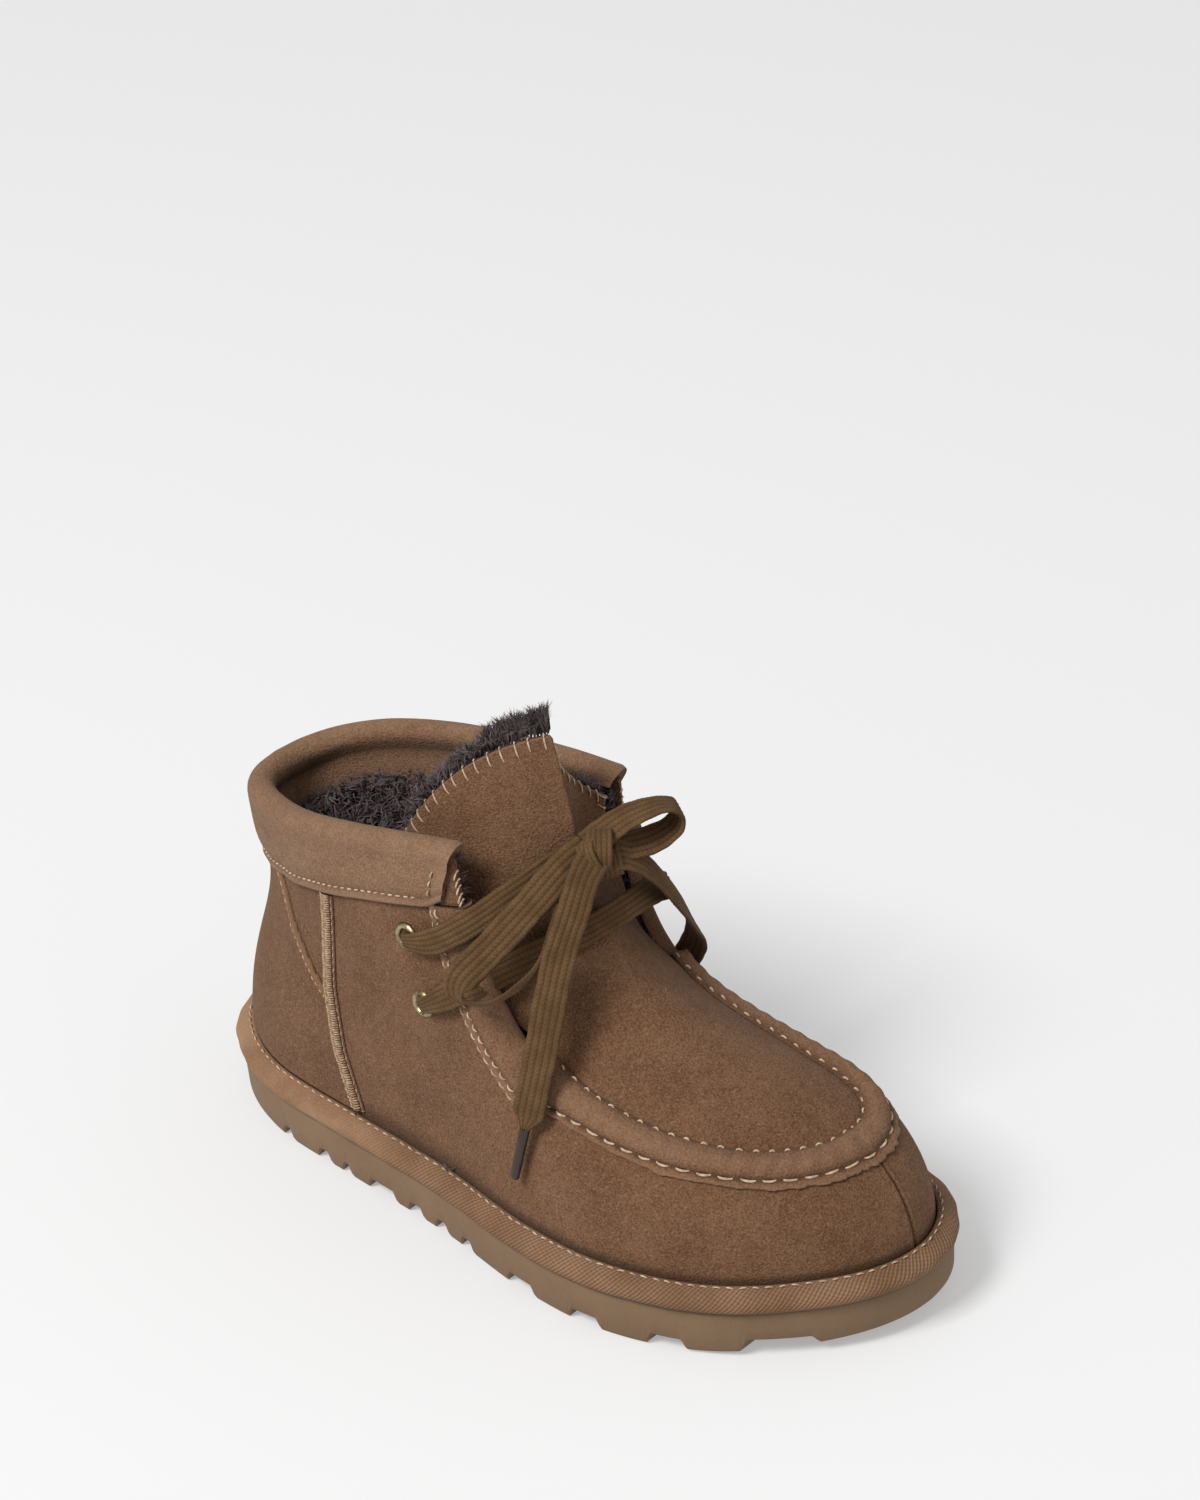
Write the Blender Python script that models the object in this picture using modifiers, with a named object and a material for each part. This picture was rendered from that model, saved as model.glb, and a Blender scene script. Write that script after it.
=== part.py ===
"""Teddy boot for the right foot: a two-eyelet suede ankle boot with a raised apron seam.

Shoe coordinates are along (heel to toe), across (little toe side negative) and up.
place() turns them into world metres: the toe points to -Y and the outer side to -X.
"""
import math

import bmesh
import bpy
from mathutils import Vector

# Driving sizes, in metres
LENGTH = 0.272
BALL_WIDTH = 0.1034
OUTSOLE_THICKNESS = 0.0158
TOE_SPRING = 0.0056
TOP_SPRING = 0.0016
ARCH_RISE = 0.0012
SOLE_EDGE_ROUND = 0.0010
TREAD_DEPTH = 0.0035
RAND_HEIGHT = 0.0080
RAND_BULGE = 0.0020
RAND_INSET = 0.0048
WALL = 0.0030
INSOLE_THICKNESS = 0.0045
COLLAR_HEIGHT = 0.1350
CUFF_DEPTH = 0.0275
CUFF_INNER_DEPTH = 0.0225
CUFF_LEAF = 0.0018
COLLAR_ROLL = 0.0010
COLLAR_BEND = 0.0050
COUNTER_THICKNESS = 0.0012
ROLL_INNER = 0.0046
ROLL_OUTER = 0.0056
ROLL_FLANGE = 0.0030
ROLL_HEIGHT = 0.0042
FLANGE_THICKNESS = 0.0010
BINDING_WIDTH = 0.0125
BINDING_HEIGHT = 0.0018
SIDE_SEAM_WIDTH = 0.0056
SIDE_SEAM_HEIGHT = 0.0020
TONGUE_THICKNESS = 0.0026
EYELET_DIAMETER = 0.0094
EYELET_BORE = 0.0052
EYELET_RIM = 0.0010
EYELET_METAL = 0.0004
LACE_WIDTH = 0.0106
LACE_THICKNESS = 0.0018
KNOT_SIZE = 0.0150
AGLET_DIAMETER = 0.0034

# Clearances between pieces
GAP = 0.0003
SOFT_GAP = 0.0005

# Edges that turn by more than this stay crisp; the rest are shaded smooth
SHARP_ANGLE = math.radians(40)

# Where the toe spring starts, as a share of the length
SPRING_START = 0.72

# Outline of the sole: station share of the length, middle and half width as
# shares of half the ball width
OUTLINE_ROWS = [
    (0.00, 0.03, 0.000),
    (0.04, 0.02, 0.445),
    (0.14, -0.03, 0.687),
    (0.29, -0.09, 0.725),
    (0.45, -0.10, 0.793),
    (0.60, -0.08, 0.948),
    (0.72, -0.03, 1.000),
    (0.85, 0.07, 0.884),
    (0.95, 0.19, 0.561),
    (1.00, 0.23, 0.000),
]

# Gaps between the lugs: start and end as shares of the length
LUG_GAP_ROWS = [
    (0.162, 0.180),
    (0.228, 0.250),
    (0.272, 0.287),
    (0.320, 0.367),
    (0.390, 0.415),
    (0.438, 0.460),
    (0.485, 0.507),
    (0.574, 0.618),
    (0.676, 0.717),
    (0.779, 0.820),
    (0.879, 0.941),
]

# Top line of the upper: sole station it rises from, then where it is along (share of
# the length), across (share of half the ball width) and up (share of the collar height)
LATERAL_COLLAR = [
    (0.000, 0.063, 0.060, 0.824),
    (0.015, 0.071, -0.140, 0.826),
    (0.050, 0.096, -0.300, 0.833),
    (0.100, 0.142, -0.430, 0.850),
    (0.180, 0.222, -0.575, 0.888),
    (0.275, 0.312, -0.630, 0.930),
    (0.355, 0.397, -0.630, 0.968),
    (0.430, 0.478, -0.610, 1.000),
]
MEDIAL_COLLAR = [
    (0.000, 0.063, 0.060, 0.824),
    (0.015, 0.071, 0.270, 0.828),
    (0.050, 0.098, 0.465, 0.842),
    (0.100, 0.150, 0.615, 0.866),
    (0.180, 0.237, 0.695, 0.902),
    (0.275, 0.331, 0.706, 0.935),
    (0.355, 0.423, 0.690, 0.965),
    (0.430, 0.510, 0.658, 0.988),
]
LATERAL_FRONT = [
    (0.430, 0.478, -0.610, 1.000),
    (0.448, 0.489, -0.625, 0.874),
    (0.470, 0.504, -0.631, 0.763),
    (0.493, 0.524, -0.635, 0.667),
    (0.518, 0.550, -0.635, 0.585),
    (0.548, 0.582, -0.635, 0.524),
    (0.600, 0.624, -0.640, 0.474),
    (0.670, 0.684, -0.629, 0.441),
    (0.750, 0.761, -0.561, 0.419),
    (0.830, 0.827, -0.406, 0.404),
    (0.900, 0.871, -0.213, 0.394),
    (0.960, 0.899, 0.019, 0.391),
    (1.000, 0.908, 0.251, 0.389),
]
MEDIAL_FRONT = [
    (0.430, 0.510, 0.658, 0.988),
    (0.448, 0.506, 0.677, 0.867),
    (0.470, 0.511, 0.683, 0.759),
    (0.493, 0.528, 0.677, 0.667),
    (0.518, 0.552, 0.658, 0.596),
    (0.548, 0.583, 0.638, 0.544),
    (0.600, 0.625, 0.629, 0.500),
    (0.670, 0.684, 0.629, 0.470),
    (0.750, 0.761, 0.638, 0.444),
    (0.830, 0.827, 0.638, 0.424),
    (0.900, 0.871, 0.580, 0.408),
    (0.960, 0.899, 0.435, 0.396),
    (1.000, 0.908, 0.251, 0.389),
]

# Wall between sole and top line: sole station, fullness (0 straight, 1 round) and how
# far it draws in above the heel (share of half the ball width)
WALL_ROWS = [
    (0.00, 0.10, 0.140),
    (0.15, 0.20, 0.090),
    (0.30, 0.35, 0.000),
    (0.45, 0.50, 0.000),
    (0.60, 0.75, 0.000),
    (0.80, 0.85, 0.000),
    (1.00, 0.85, 0.000),
]

# Crown of the apron over its two seams: sole station, rise (share of the collar
# height), how far its ridge lies forward (share of the length), roundness power
CROWN_ROWS = [
    (0.548, 0.172, 0.022, 1.60),
    (0.600, 0.166, 0.010, 1.65),
    (0.670, 0.139, 0.004, 1.70),
    (0.750, 0.100, 0.001, 1.80),
    (0.830, 0.061, 0.000, 1.90),
    (0.900, 0.034, 0.000, 2.00),
    (0.960, 0.012, 0.000, 2.00),
    (1.000, 0.000, 0.000, 2.00),
]
THROAT_STATION = 0.548
BINDING_START = 0.466

# Tongue above the throat, a row for each level, as shares like the top line's: ridge
# along and up, outer edge along, across and up, the fold beside the ridge along,
# across and up, inner edge along, across and up, and the outer flank's bulge
TONGUE_ROWS = [
    (0.573, 0.822, 0.530, -0.550, 0.600, 0.562, 0.220, 0.765, 0.548, 0.510, 0.640, 0.060),
    (0.556, 0.919, 0.480, -0.540, 0.700, 0.530, 0.200, 0.875, 0.525, 0.510, 0.755, 0.080),
    (0.546, 1.030, 0.430, -0.515, 0.800, 0.505, 0.180, 0.975, 0.516, 0.500, 0.850, 0.110),
    (0.536, 1.135, 0.395, -0.490, 0.880, 0.495, 0.165, 1.040, 0.512, 0.490, 0.925, 0.140),
    (0.527, 1.222, 0.368, -0.470, 0.932, 0.490, 0.150, 1.085, 0.515, 0.490, 0.965, 0.165),
]
RIDGE_ACROSS = 0.039

# Eyelets on each side, lower and upper: along (share of the length) and up (share of
# the collar height)
EYELET_ROWS = [
    (0.428, 0.590),
    (0.406, 0.748),
]

# Side seam from the rand to the cuff: up (share of the collar height) and along (share
# of the length)
SIDE_SEAM_ROWS = [
    (0.195, 0.297),
    (0.330, 0.273),
    (0.500, 0.262),
    (0.715, 0.266),
]

# Top edge of the heel counter: along and up, as shares of length and collar height
COUNTER_ROWS = [
    (0.100, 0.900),
    (0.118, 0.760),
    (0.138, 0.690),
    (0.180, 0.585),
    (0.230, 0.510),
    (0.257, 0.475),
]

# Free lengths of lace, as points along, across and up in metres, each with the
# direction its broad face looks in
UPPER_RUN_LATERAL = [
    (0.1250, -0.0385, 0.1060, 0.1, -1.0, 0.2),
    (0.1360, -0.0350, 0.1140, 0.4, -0.8, 0.3),
    (0.1440, -0.0240, 0.1210, 0.6, -0.6, 0.5),
    (0.1500, -0.0120, 0.1270, 0.8, -0.4, 0.4),
]
UPPER_RUN_MEDIAL = [
    (0.1270, 0.0410, 0.1060, 0.1, 1.0, 0.2),
    (0.1390, 0.0400, 0.1110, 0.4, 0.8, 0.3),
    (0.1490, 0.0290, 0.1180, 0.6, 0.6, 0.5),
    (0.1545, 0.0160, 0.1240, 0.8, 0.4, 0.4),
]
LOWER_BAR = [
    (0.1300, -0.0405, 0.0835, 0.1, -1.0, 0.2),
    (0.1420, -0.0385, 0.0880, 0.3, -0.9, 0.3),
    (0.1540, -0.0290, 0.0945, 0.7, -0.6, 0.4),
    (0.1610, -0.0140, 0.1030, 0.8, -0.4, 0.4),
    (0.1635, 0.0020, 0.1080, 0.9, 0.0, 0.4),
    (0.1605, 0.0200, 0.1065, 0.7, 0.5, 0.4),
    (0.1545, 0.0355, 0.0990, 0.5, 0.8, 0.3),
    (0.1390, 0.0415, 0.0890, 0.1, 1.0, 0.2),
]
KNOT_CENTRE = (0.1565, 0.0023, 0.1314)
LOOP_LATERAL = [
    (0.1535, -0.0120, 0.1285, 0.6, -0.6, 0.5),
    (0.1510, -0.0230, 0.1205, 0.6, -0.7, 0.4),
    (0.1460, -0.0365, 0.1100, 0.4, -0.9, 0.3),
    (0.1415, -0.0455, 0.1025, 0.2, -1.0, -0.2),
    (0.1440, -0.0475, 0.0975, 0.6, -0.5, -0.7),
    (0.1510, -0.0430, 0.0965, 0.6, -0.6, -0.5),
    (0.1570, -0.0340, 0.1000, 0.7, -0.6, -0.3),
    (0.1588, -0.0240, 0.1052, 0.8, -0.5, -0.2),
]
LOOP_MEDIAL = [
    (0.1575, 0.0120, 0.1355, -0.3, -0.3, 0.9),
    (0.1610, 0.0180, 0.1370, -0.3, -0.3, 0.9),
    (0.1640, 0.0245, 0.1365, 0.0, 0.0, 1.0),
    (0.1660, 0.0290, 0.1335, 0.5, 0.8, 0.0),
    (0.1650, 0.0280, 0.1295, 0.2, 0.2, -1.0),
    (0.1625, 0.0220, 0.1278, 0.2, 0.3, -0.9),
    (0.1600, 0.0140, 0.1278, 0.2, 0.3, -0.9),
]
END_LATERAL = [
    (0.1605, -0.0080, 0.1275, 0.8, -0.4, 0.2),
    (0.1630, -0.0160, 0.1190, 0.8, -0.5, 0.3),
    (0.1640, -0.0240, 0.1090, 0.7, -0.6, 0.3),
    (0.1650, -0.0310, 0.0965, 0.6, -0.7, 0.3),
    (0.1655, -0.0370, 0.0825, 0.5, -0.8, 0.3),
    (0.1650, -0.0425, 0.0680, 0.3, -0.9, 0.3),
    (0.1635, -0.0455, 0.0565, 0.2, -1.0, 0.2),
]
END_MEDIAL = [
    (0.1620, 0.0080, 0.1235, 0.8, 0.3, 0.5),
    (0.1645, 0.0150, 0.1165, 0.8, 0.4, 0.4),
    (0.1670, 0.0260, 0.1045, 0.7, 0.6, 0.4),
    (0.1645, 0.0360, 0.0915, 0.4, 0.9, 0.3),
    (0.1590, 0.0405, 0.0785, 0.2, 1.0, 0.2),
    (0.1520, 0.0415, 0.0650, 0.1, 1.0, 0.1),
    (0.1500, 0.0430, 0.0520, 0.0, 1.0, 0.1),
]
AGLET_LENGTH = 0.0170

LATERAL, MEDIAL = -1, 1
HALF_BALL = BALL_WIDTH / 2
FEATHER_INSET = RAND_INSET + GAP
FOOT_LEVEL = OUTSOLE_THICKNESS + GAP
FEATHER_LEVEL = FOOT_LEVEL + RAND_HEIGHT

# How finely the forms are cut
WALL_LEVELS = [0.0, 0.14, 0.30, 0.47, 0.64, 0.82, 1.0]
APRON_COLUMNS = 10
TONGUE_COLUMNS = 12


def turn_at(station):
    """Angle share round the outline, 0 at the heel and 1 at the toe, of a station."""
    return math.acos(1 - 2 * station) / math.pi


def station_at(turn):
    """Share of the length at an angle share round the outline."""
    return (1 - math.cos(math.pi * turn)) / 2


def read(rows, column, turn):
    """Value of a table's column on a smooth curve through its rows."""
    keys = [turn_at(row[0]) for row in rows]
    values = [row[column] for row in rows]
    last = len(keys) - 1
    if turn <= keys[0]:
        return values[0]
    if turn >= keys[last]:
        return values[last]
    k = max(i for i in range(last) if keys[i] <= turn)

    def slope(i):
        low, high = max(i - 1, 0), min(i + 1, last)
        return (values[high] - values[low]) / (keys[high] - keys[low])

    span = keys[k + 1] - keys[k]
    t = (turn - keys[k]) / span
    return (values[k] * (1 + 2 * t) * (1 - t) ** 2 + values[k + 1] * t * t * (3 - 2 * t)
            + span * t * (1 - t) * (slope(k) * (1 - t) - slope(k + 1) * t))


def spring(station, rise):
    """Height that the toe spring adds at a station."""
    share = max(0.0, (station - SPRING_START) / (1 - SPRING_START))
    return rise * share ** 2


def plain_outline(side, turn):
    """Point of the sole's outline, along and across."""
    middle = read(OUTLINE_ROWS, 1, turn) * HALF_BALL
    half = read(OUTLINE_ROWS, 2, turn) * HALF_BALL
    return Vector((LENGTH * station_at(turn), middle + side * half))


def outline(side, turn, outset):
    """Point of the outline moved out by outset along its normal."""
    step = 0.004
    ahead = (side, turn + step) if turn + step <= 1 else (-side, 2 - turn - step)
    behind = (side, turn - step) if turn - step >= 0 else (-side, step - turn)
    tangent = (plain_outline(*ahead) - plain_outline(*behind)).normalized()
    normal = Vector((-tangent.y, tangent.x)) * side
    return plain_outline(side, turn) + normal * outset


def top_line(side, turn):
    """Point of the upper's top line above a place of the outline."""
    if side == LATERAL:
        collar, front = LATERAL_COLLAR, LATERAL_FRONT
    else:
        collar, front = MEDIAL_COLLAR, MEDIAL_FRONT
    rows = collar if turn <= turn_at(collar[-1][0]) else front
    return Vector((read(rows, 1, turn) * LENGTH, read(rows, 2, turn) * HALF_BALL,
                   read(rows, 3, turn) * COLLAR_HEIGHT))


def feather(side, turn):
    """Point where the wall leaves the rand."""
    edge = outline(side, turn, -FEATHER_INSET)
    return Vector((edge.x, edge.y, FEATHER_LEVEL + spring(station_at(turn), TOP_SPRING)))


def wall(side, turn, level):
    """Outer face of the upper's wall: level 0 at the rand, 1 at the top line."""
    low, high = feather(side, turn), top_line(side, turn)
    full = read(WALL_ROWS, 1, turn)
    waist = read(WALL_ROWS, 2, turn) * HALF_BALL * math.sin(math.pi * level ** 1.35) ** 2
    inward = (1 - full) * level + full * (1 - math.cos(math.pi / 2 * level))
    rise = (1 - full) * level + full * math.sin(math.pi / 2 * level)
    drawn = outline(side, turn, -waist) - outline(side, turn, 0)
    across = low.lerp(high, inward)
    return Vector((across.x + drawn.x, across.y + drawn.y, low.z + (high.z - low.z) * rise))


def apron(turn, share):
    """Outer face of the apron: share 0 at the outer seam, 1 at the inner seam."""
    seam = top_line(LATERAL, turn).lerp(top_line(MEDIAL, turn), share)
    power = read(CROWN_ROWS, 3, turn)
    crown = 1 - abs(2 * share - 1) ** power
    seam.z += read(CROWN_ROWS, 1, turn) * COLLAR_HEIGHT * crown
    seam.x += read(CROWN_ROWS, 2, turn) * LENGTH * crown
    return seam


def wall_frame(side, turn, level):
    """Point of the wall as its facets cut it, its outward normal and upward direction."""
    step = 0.004
    row = max(i for i in range(len(WALL_LEVELS) - 1) if WALL_LEVELS[i] <= level)
    low, high = WALL_LEVELS[row], WALL_LEVELS[row + 1]
    upward = wall(side, turn, high) - wall(side, turn, low)
    point = wall(side, turn, low) + upward * (level - low) / (high - low)
    ahead = (side, turn + step) if turn + step <= 1 else (-side, 2 - turn - step)
    behind = (side, turn - step) if turn - step >= 0 else (-side, step - turn)
    along = wall(*ahead, level) - wall(*behind, level)
    normal = along.cross(upward) * -side
    return point, normal.normalized(), upward.normalized()


def skin(side, turn, level, offset):
    """Point at an offset from the wall's outer face."""
    point, normal, _ = wall_frame(side, turn, level)
    return point + normal * offset


def wall_length(side, turn):
    return (top_line(side, turn) - feather(side, turn)).length


def wall_place(side, along, up):
    """Turn and level of the wall's point at a place along and up."""
    low_turn, high_turn = 0.02, turn_at(0.60)
    for _ in range(30):
        turn = (low_turn + high_turn) / 2
        low, high = 0.0, 1.0
        for _ in range(24):
            level = (low + high) / 2
            if wall(side, turn, level).z < up:
                low = level
            else:
                high = level
        if wall(side, turn, level).x < along:
            low_turn = turn
        else:
            high_turn = turn
    return turn, level


def spread(first, last, count):
    return [first + (last - first) * i / (count - 1) for i in range(count)]


CORNER = turn_at(LATERAL_COLLAR[-1][0])
THROAT = turn_at(THROAT_STATION)
COLLAR_TURNS = spread(0.0, CORNER, 15)
FACING_TURNS = spread(CORNER, THROAT, 9)[1:]
APRON_TURNS = spread(THROAT, 1.0, 16)[1:]
TURNS = COLLAR_TURNS + FACING_TURNS + APRON_TURNS


def middle_of_box():
    """Middle of the rand's outline, which stands over the world's origin."""
    edge = [outline(side, turn, RAND_BULGE) for side in (LATERAL, MEDIAL) for turn in TURNS]
    return ((min(p.x for p in edge) + max(p.x for p in edge)) / 2,
            (min(p.y for p in edge) + max(p.y for p in edge)) / 2)


MIDDLE_ALONG, MIDDLE_ACROSS = middle_of_box()


def place(point):
    """World position of a point in shoe coordinates."""
    return Vector((point[1] - MIDDLE_ACROSS, MIDDLE_ALONG - point[0], point[2]))


def ring_places():
    """Side and turn of each place once round: outer side to the toe, inner side back."""
    lateral = [(LATERAL, turn) for turn in TURNS]
    medial = [(MEDIAL, turn) for turn in reversed(TURNS[1:-1])]
    return lateral + medial


def material(name, colour, roughness, metallic=0.0):
    made = bpy.data.materials.new(name)
    made.use_nodes = True
    shader = made.node_tree.nodes["Principled BSDF"]
    shader.inputs["Base Color"].default_value = (*colour, 1)
    shader.inputs["Roughness"].default_value = roughness
    shader.inputs["Metallic"].default_value = metallic
    return made


def add_object(name, points, faces, look, parts):
    """Object from shoe-coordinate points, its outward faces made consistent."""
    mesh = bpy.data.meshes.new(name)
    mesh.from_pydata([place(p) for p in points], [], faces)
    form = bmesh.new()
    form.from_mesh(mesh)
    bmesh.ops.remove_doubles(form, verts=form.verts, dist=1e-6)
    bmesh.ops.dissolve_degenerate(form, edges=form.edges, dist=1e-7)
    if not any(edge.is_boundary for edge in form.edges):
        bmesh.ops.recalc_face_normals(form, faces=form.faces)
    form.to_mesh(mesh)
    form.free()
    mesh.shade_smooth()
    mesh.set_sharp_from_angle(angle=SHARP_ANGLE)
    mesh.materials.append(look)
    made = bpy.data.objects.new(name, mesh)
    parts.objects.link(made)
    return made


def loft(name, sections, look, parts, closed_path=False):
    """Solid through closed sections of equal point counts, capped unless it closes."""
    count = len(sections[0])
    points = [p for section in sections for p in section]
    faces = []
    spans = len(sections) if closed_path else len(sections) - 1
    for i in range(spans):
        a, b = i * count, (i + 1) % len(sections) * count
        for j in range(count):
            k = (j + 1) % count
            faces.append((a + j, b + j, b + k, a + k))
    if not closed_path:
        faces.append(tuple(range(count)))
        faces.append(tuple(range(len(points) - count, len(points))))
    return add_object(name, points, faces, look, parts)


def slab(name, levels, look, parts):
    """Plate whose rings follow the outline, with caps laid straight across the foot."""
    ring = ring_places()
    points = []
    for outset, height, rise in levels:
        for side, turn in ring:
            edge = outline(side, turn, outset)
            points.append((edge.x, edge.y, height(side, turn) if callable(height)
                           else height + spring(station_at(turn), rise)))
    count = len(ring)
    faces = []
    for i in range(len(levels) - 1):
        for j in range(count):
            k = (j + 1) % count
            faces.append((i * count + j, i * count + k, (i + 1) * count + k, (i + 1) * count + j))
    last = (len(levels) - 1) * count
    for base in (0, last):
        faces.append((base, base + 1, base + count - 1))
        for j in range(1, count // 2 - 1):
            faces.append((base + j, base + j + 1, base + count - j - 1, base + count - j))
        half = count // 2
        faces.append((base + half - 1, base + half, base + half + 1))
    return add_object(name, points, faces, look, parts)


def cut(target, cutter, cutters):
    """Cut one object out of another with an exact Boolean."""
    for collection in list(cutter.users_collection):
        collection.objects.unlink(cutter)
    cutters.objects.link(cutter)
    cutter.hide_render = True
    cutter.display_type = "WIRE"
    boolean = target.modifiers.new("cut", "BOOLEAN")
    boolean.operation = "DIFFERENCE"
    boolean.solver = "EXACT"
    boolean.object = cutter


def tread_level(side, turn):
    """Underside of the outsole: flat, raised at the toe and under the inner arch."""
    station = station_at(turn)
    waist = max(0.0, 1 - ((station - 0.42) / 0.12) ** 2)
    inner = 1.0 if side == MEDIAL else 0.0
    return spring(station, TOE_SPRING) + ARCH_RISE * waist * inner


def outsole(look, parts, cutters):
    """Rubber outsole with lugs between grooves that run straight across."""
    def edge_level(side, turn):
        return tread_level(side, turn) + SOLE_EDGE_ROUND

    sole = slab("outsole", [
        (-SOLE_EDGE_ROUND, tread_level, 0),
        (0, edge_level, 0),
        (0, OUTSOLE_THICKNESS, TOP_SPRING),
    ], look, parts)
    slope = TREAD_DEPTH * 0.4
    sections = []
    for start, end in LUG_GAP_ROWS:
        floor = spring((start + end) / 2, TOE_SPRING)
        near, far = start * LENGTH, end * LENGTH
        low, high = floor - TREAD_DEPTH, floor + TREAD_DEPTH
        profile = [(near - slope, low), (far + slope, low), (far - slope, high), (near + slope, high)]
        sections.append([[(x, w * BALL_WIDTH, z) for x, z in profile] for w in (-0.8, 0.8)])
    for number, pair in enumerate(sections, 1):
        groove = loft(f"groove_{number}", pair, look, parts)
        cut(sole, groove, cutters)
    return sole


def rand(look, parts):
    """Padded band round the foot of the upper, on the outsole."""
    base, top = FOOT_LEVEL, FEATHER_LEVEL
    tall = top - base
    profile = [
        (-RAND_INSET, base),
        (-SOLE_EDGE_ROUND / 2, base),
        (RAND_BULGE * 0.7, base + tall * 0.12),
        (RAND_BULGE, base + tall * 0.32),
        (RAND_BULGE * 0.65, base + tall * 0.55),
        (-RAND_INSET * 0.25, base + tall * 0.80),
        (-RAND_INSET * 0.70, base + tall * 0.93),
        (-RAND_INSET, top - tall * 0.04),
    ]
    sections = []
    for side, turn in ring_places():
        lift = spring(station_at(turn), TOP_SPRING)
        section = []
        for outset, level in profile:
            edge = outline(side, turn, outset)
            section.append((edge.x, edge.y, level + lift))
        sections.append(section)
    return loft("rand", sections, look, parts, closed_path=True)


def insole(look, parts):
    """Padded insole board that closes the foot of the upper."""
    inset = -(FEATHER_INSET + WALL + SOFT_GAP)
    return slab("insole", [
        (inset, FOOT_LEVEL, TOP_SPRING),
        (inset, FOOT_LEVEL + INSOLE_THICKNESS, TOP_SPRING),
    ], look, parts)


def upper(look, parts, cutters):
    """Wall and apron as one open surface, thickened inwards; open at collar and foot."""
    ring = ring_places()
    count = len(ring)
    points, faces = [], []
    for side, turn in ring:
        foot = feather(side, turn)
        foot.z -= RAND_HEIGHT
        points.append(foot)
    for level in WALL_LEVELS:
        points += [wall(side, turn, level) for side, turn in ring]
    rows = len(WALL_LEVELS) + 1
    for i in range(rows - 1):
        for j in range(count):
            k = (j + 1) % count
            faces.append((i * count + j, i * count + k, (i + 1) * count + k, (i + 1) * count + j))

    top = (rows - 1) * count
    toe = len(TURNS) - 1
    first = TURNS.index(THROAT)
    lines = []
    for number in range(first, toe):
        line = [top + number]
        for column in range(1, APRON_COLUMNS):
            line.append(len(points))
            points.append(apron(TURNS[number], column / APRON_COLUMNS))
        line.append(top + count - number)
        lines.append(line)
    for back, front in zip(lines, lines[1:]):
        for c in range(APRON_COLUMNS):
            faces.append((back[c], front[c], front[c + 1], back[c + 1]))
    for c in range(APRON_COLUMNS):
        faces.append((lines[-1][c], top + toe, lines[-1][c + 1]))

    shell = add_object("upper", points, faces, look, parts)
    thick = shell.modifiers.new("wall", "SOLIDIFY")
    thick.thickness = WALL
    thick.offset = -1
    thick.use_even_offset = True
    thick.use_rim = True
    for side in (LATERAL, MEDIAL):
        for number in range(len(EYELET_ROWS)):
            centre, axis = eyelet_frame(side, number)
            hole = add_cylinder(centre, axis, EYELET_BORE / 2 + EYELET_METAL + GAP, 4 * WALL, look, parts)
            cut(shell, hole, cutters)
    return shell


def add_cylinder(centre, axis, radius, length, look, parts):
    """Round cutter along an axis given in shoe coordinates."""
    mesh = bpy.data.meshes.new("bore")
    form = bmesh.new()
    bmesh.ops.create_cone(form, cap_ends=True, segments=16, radius1=radius, radius2=radius, depth=length)
    form.to_mesh(mesh)
    form.free()
    mesh.materials.append(look)
    made = bpy.data.objects.new("bore", mesh)
    made.location = place(centre)
    made.rotation_euler = world_direction(axis).to_track_quat("Z", "Y").to_euler()
    parts.objects.link(made)
    return made


def world_direction(axis):
    return Vector((axis[1], -axis[0], axis[2]))


def eyelet_frame(side, number):
    """Centre of an eyelet on the wall and the wall's normal there."""
    along, up = EYELET_ROWS[number]
    turn, level = wall_place(side, along * LENGTH, up * COLLAR_HEIGHT)
    point, normal, _ = wall_frame(side, turn, level)
    return point, normal


def eyelet(name, side, number, look, parts):
    """Brass eyelet: a domed rim on the wall and a barrel through it."""
    bore, outer = EYELET_BORE / 2, EYELET_DIAMETER / 2
    barrel = bore + EYELET_METAL
    seat, crown, tail = SOFT_GAP, SOFT_GAP + EYELET_RIM, -(WALL + SOFT_GAP)
    profile = [
        (bore, tail), (bore, seat + EYELET_METAL), ((bore + outer) / 2, crown),
        (outer, seat + EYELET_METAL), (outer, seat), (barrel, seat), (barrel, tail),
    ]
    mesh = bpy.data.meshes.new(name)
    mesh.from_pydata([(x, 0, z) for x, z in profile], [(i, (i + 1) % 7) for i in range(7)], [])
    mesh.materials.append(look)
    made = bpy.data.objects.new(name, mesh)
    turned = made.modifiers.new("turn", "SCREW")
    turned.steps = turned.render_steps = 16
    turned.use_merge_vertices = True
    turned.merge_threshold = 0.00005
    turned.use_normal_calculate = True
    centre, axis = eyelet_frame(side, number)
    made.location = place(centre)
    made.rotation_euler = world_direction(axis).to_track_quat("Z", "Y").to_euler()
    parts.objects.link(made)
    return made


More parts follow.
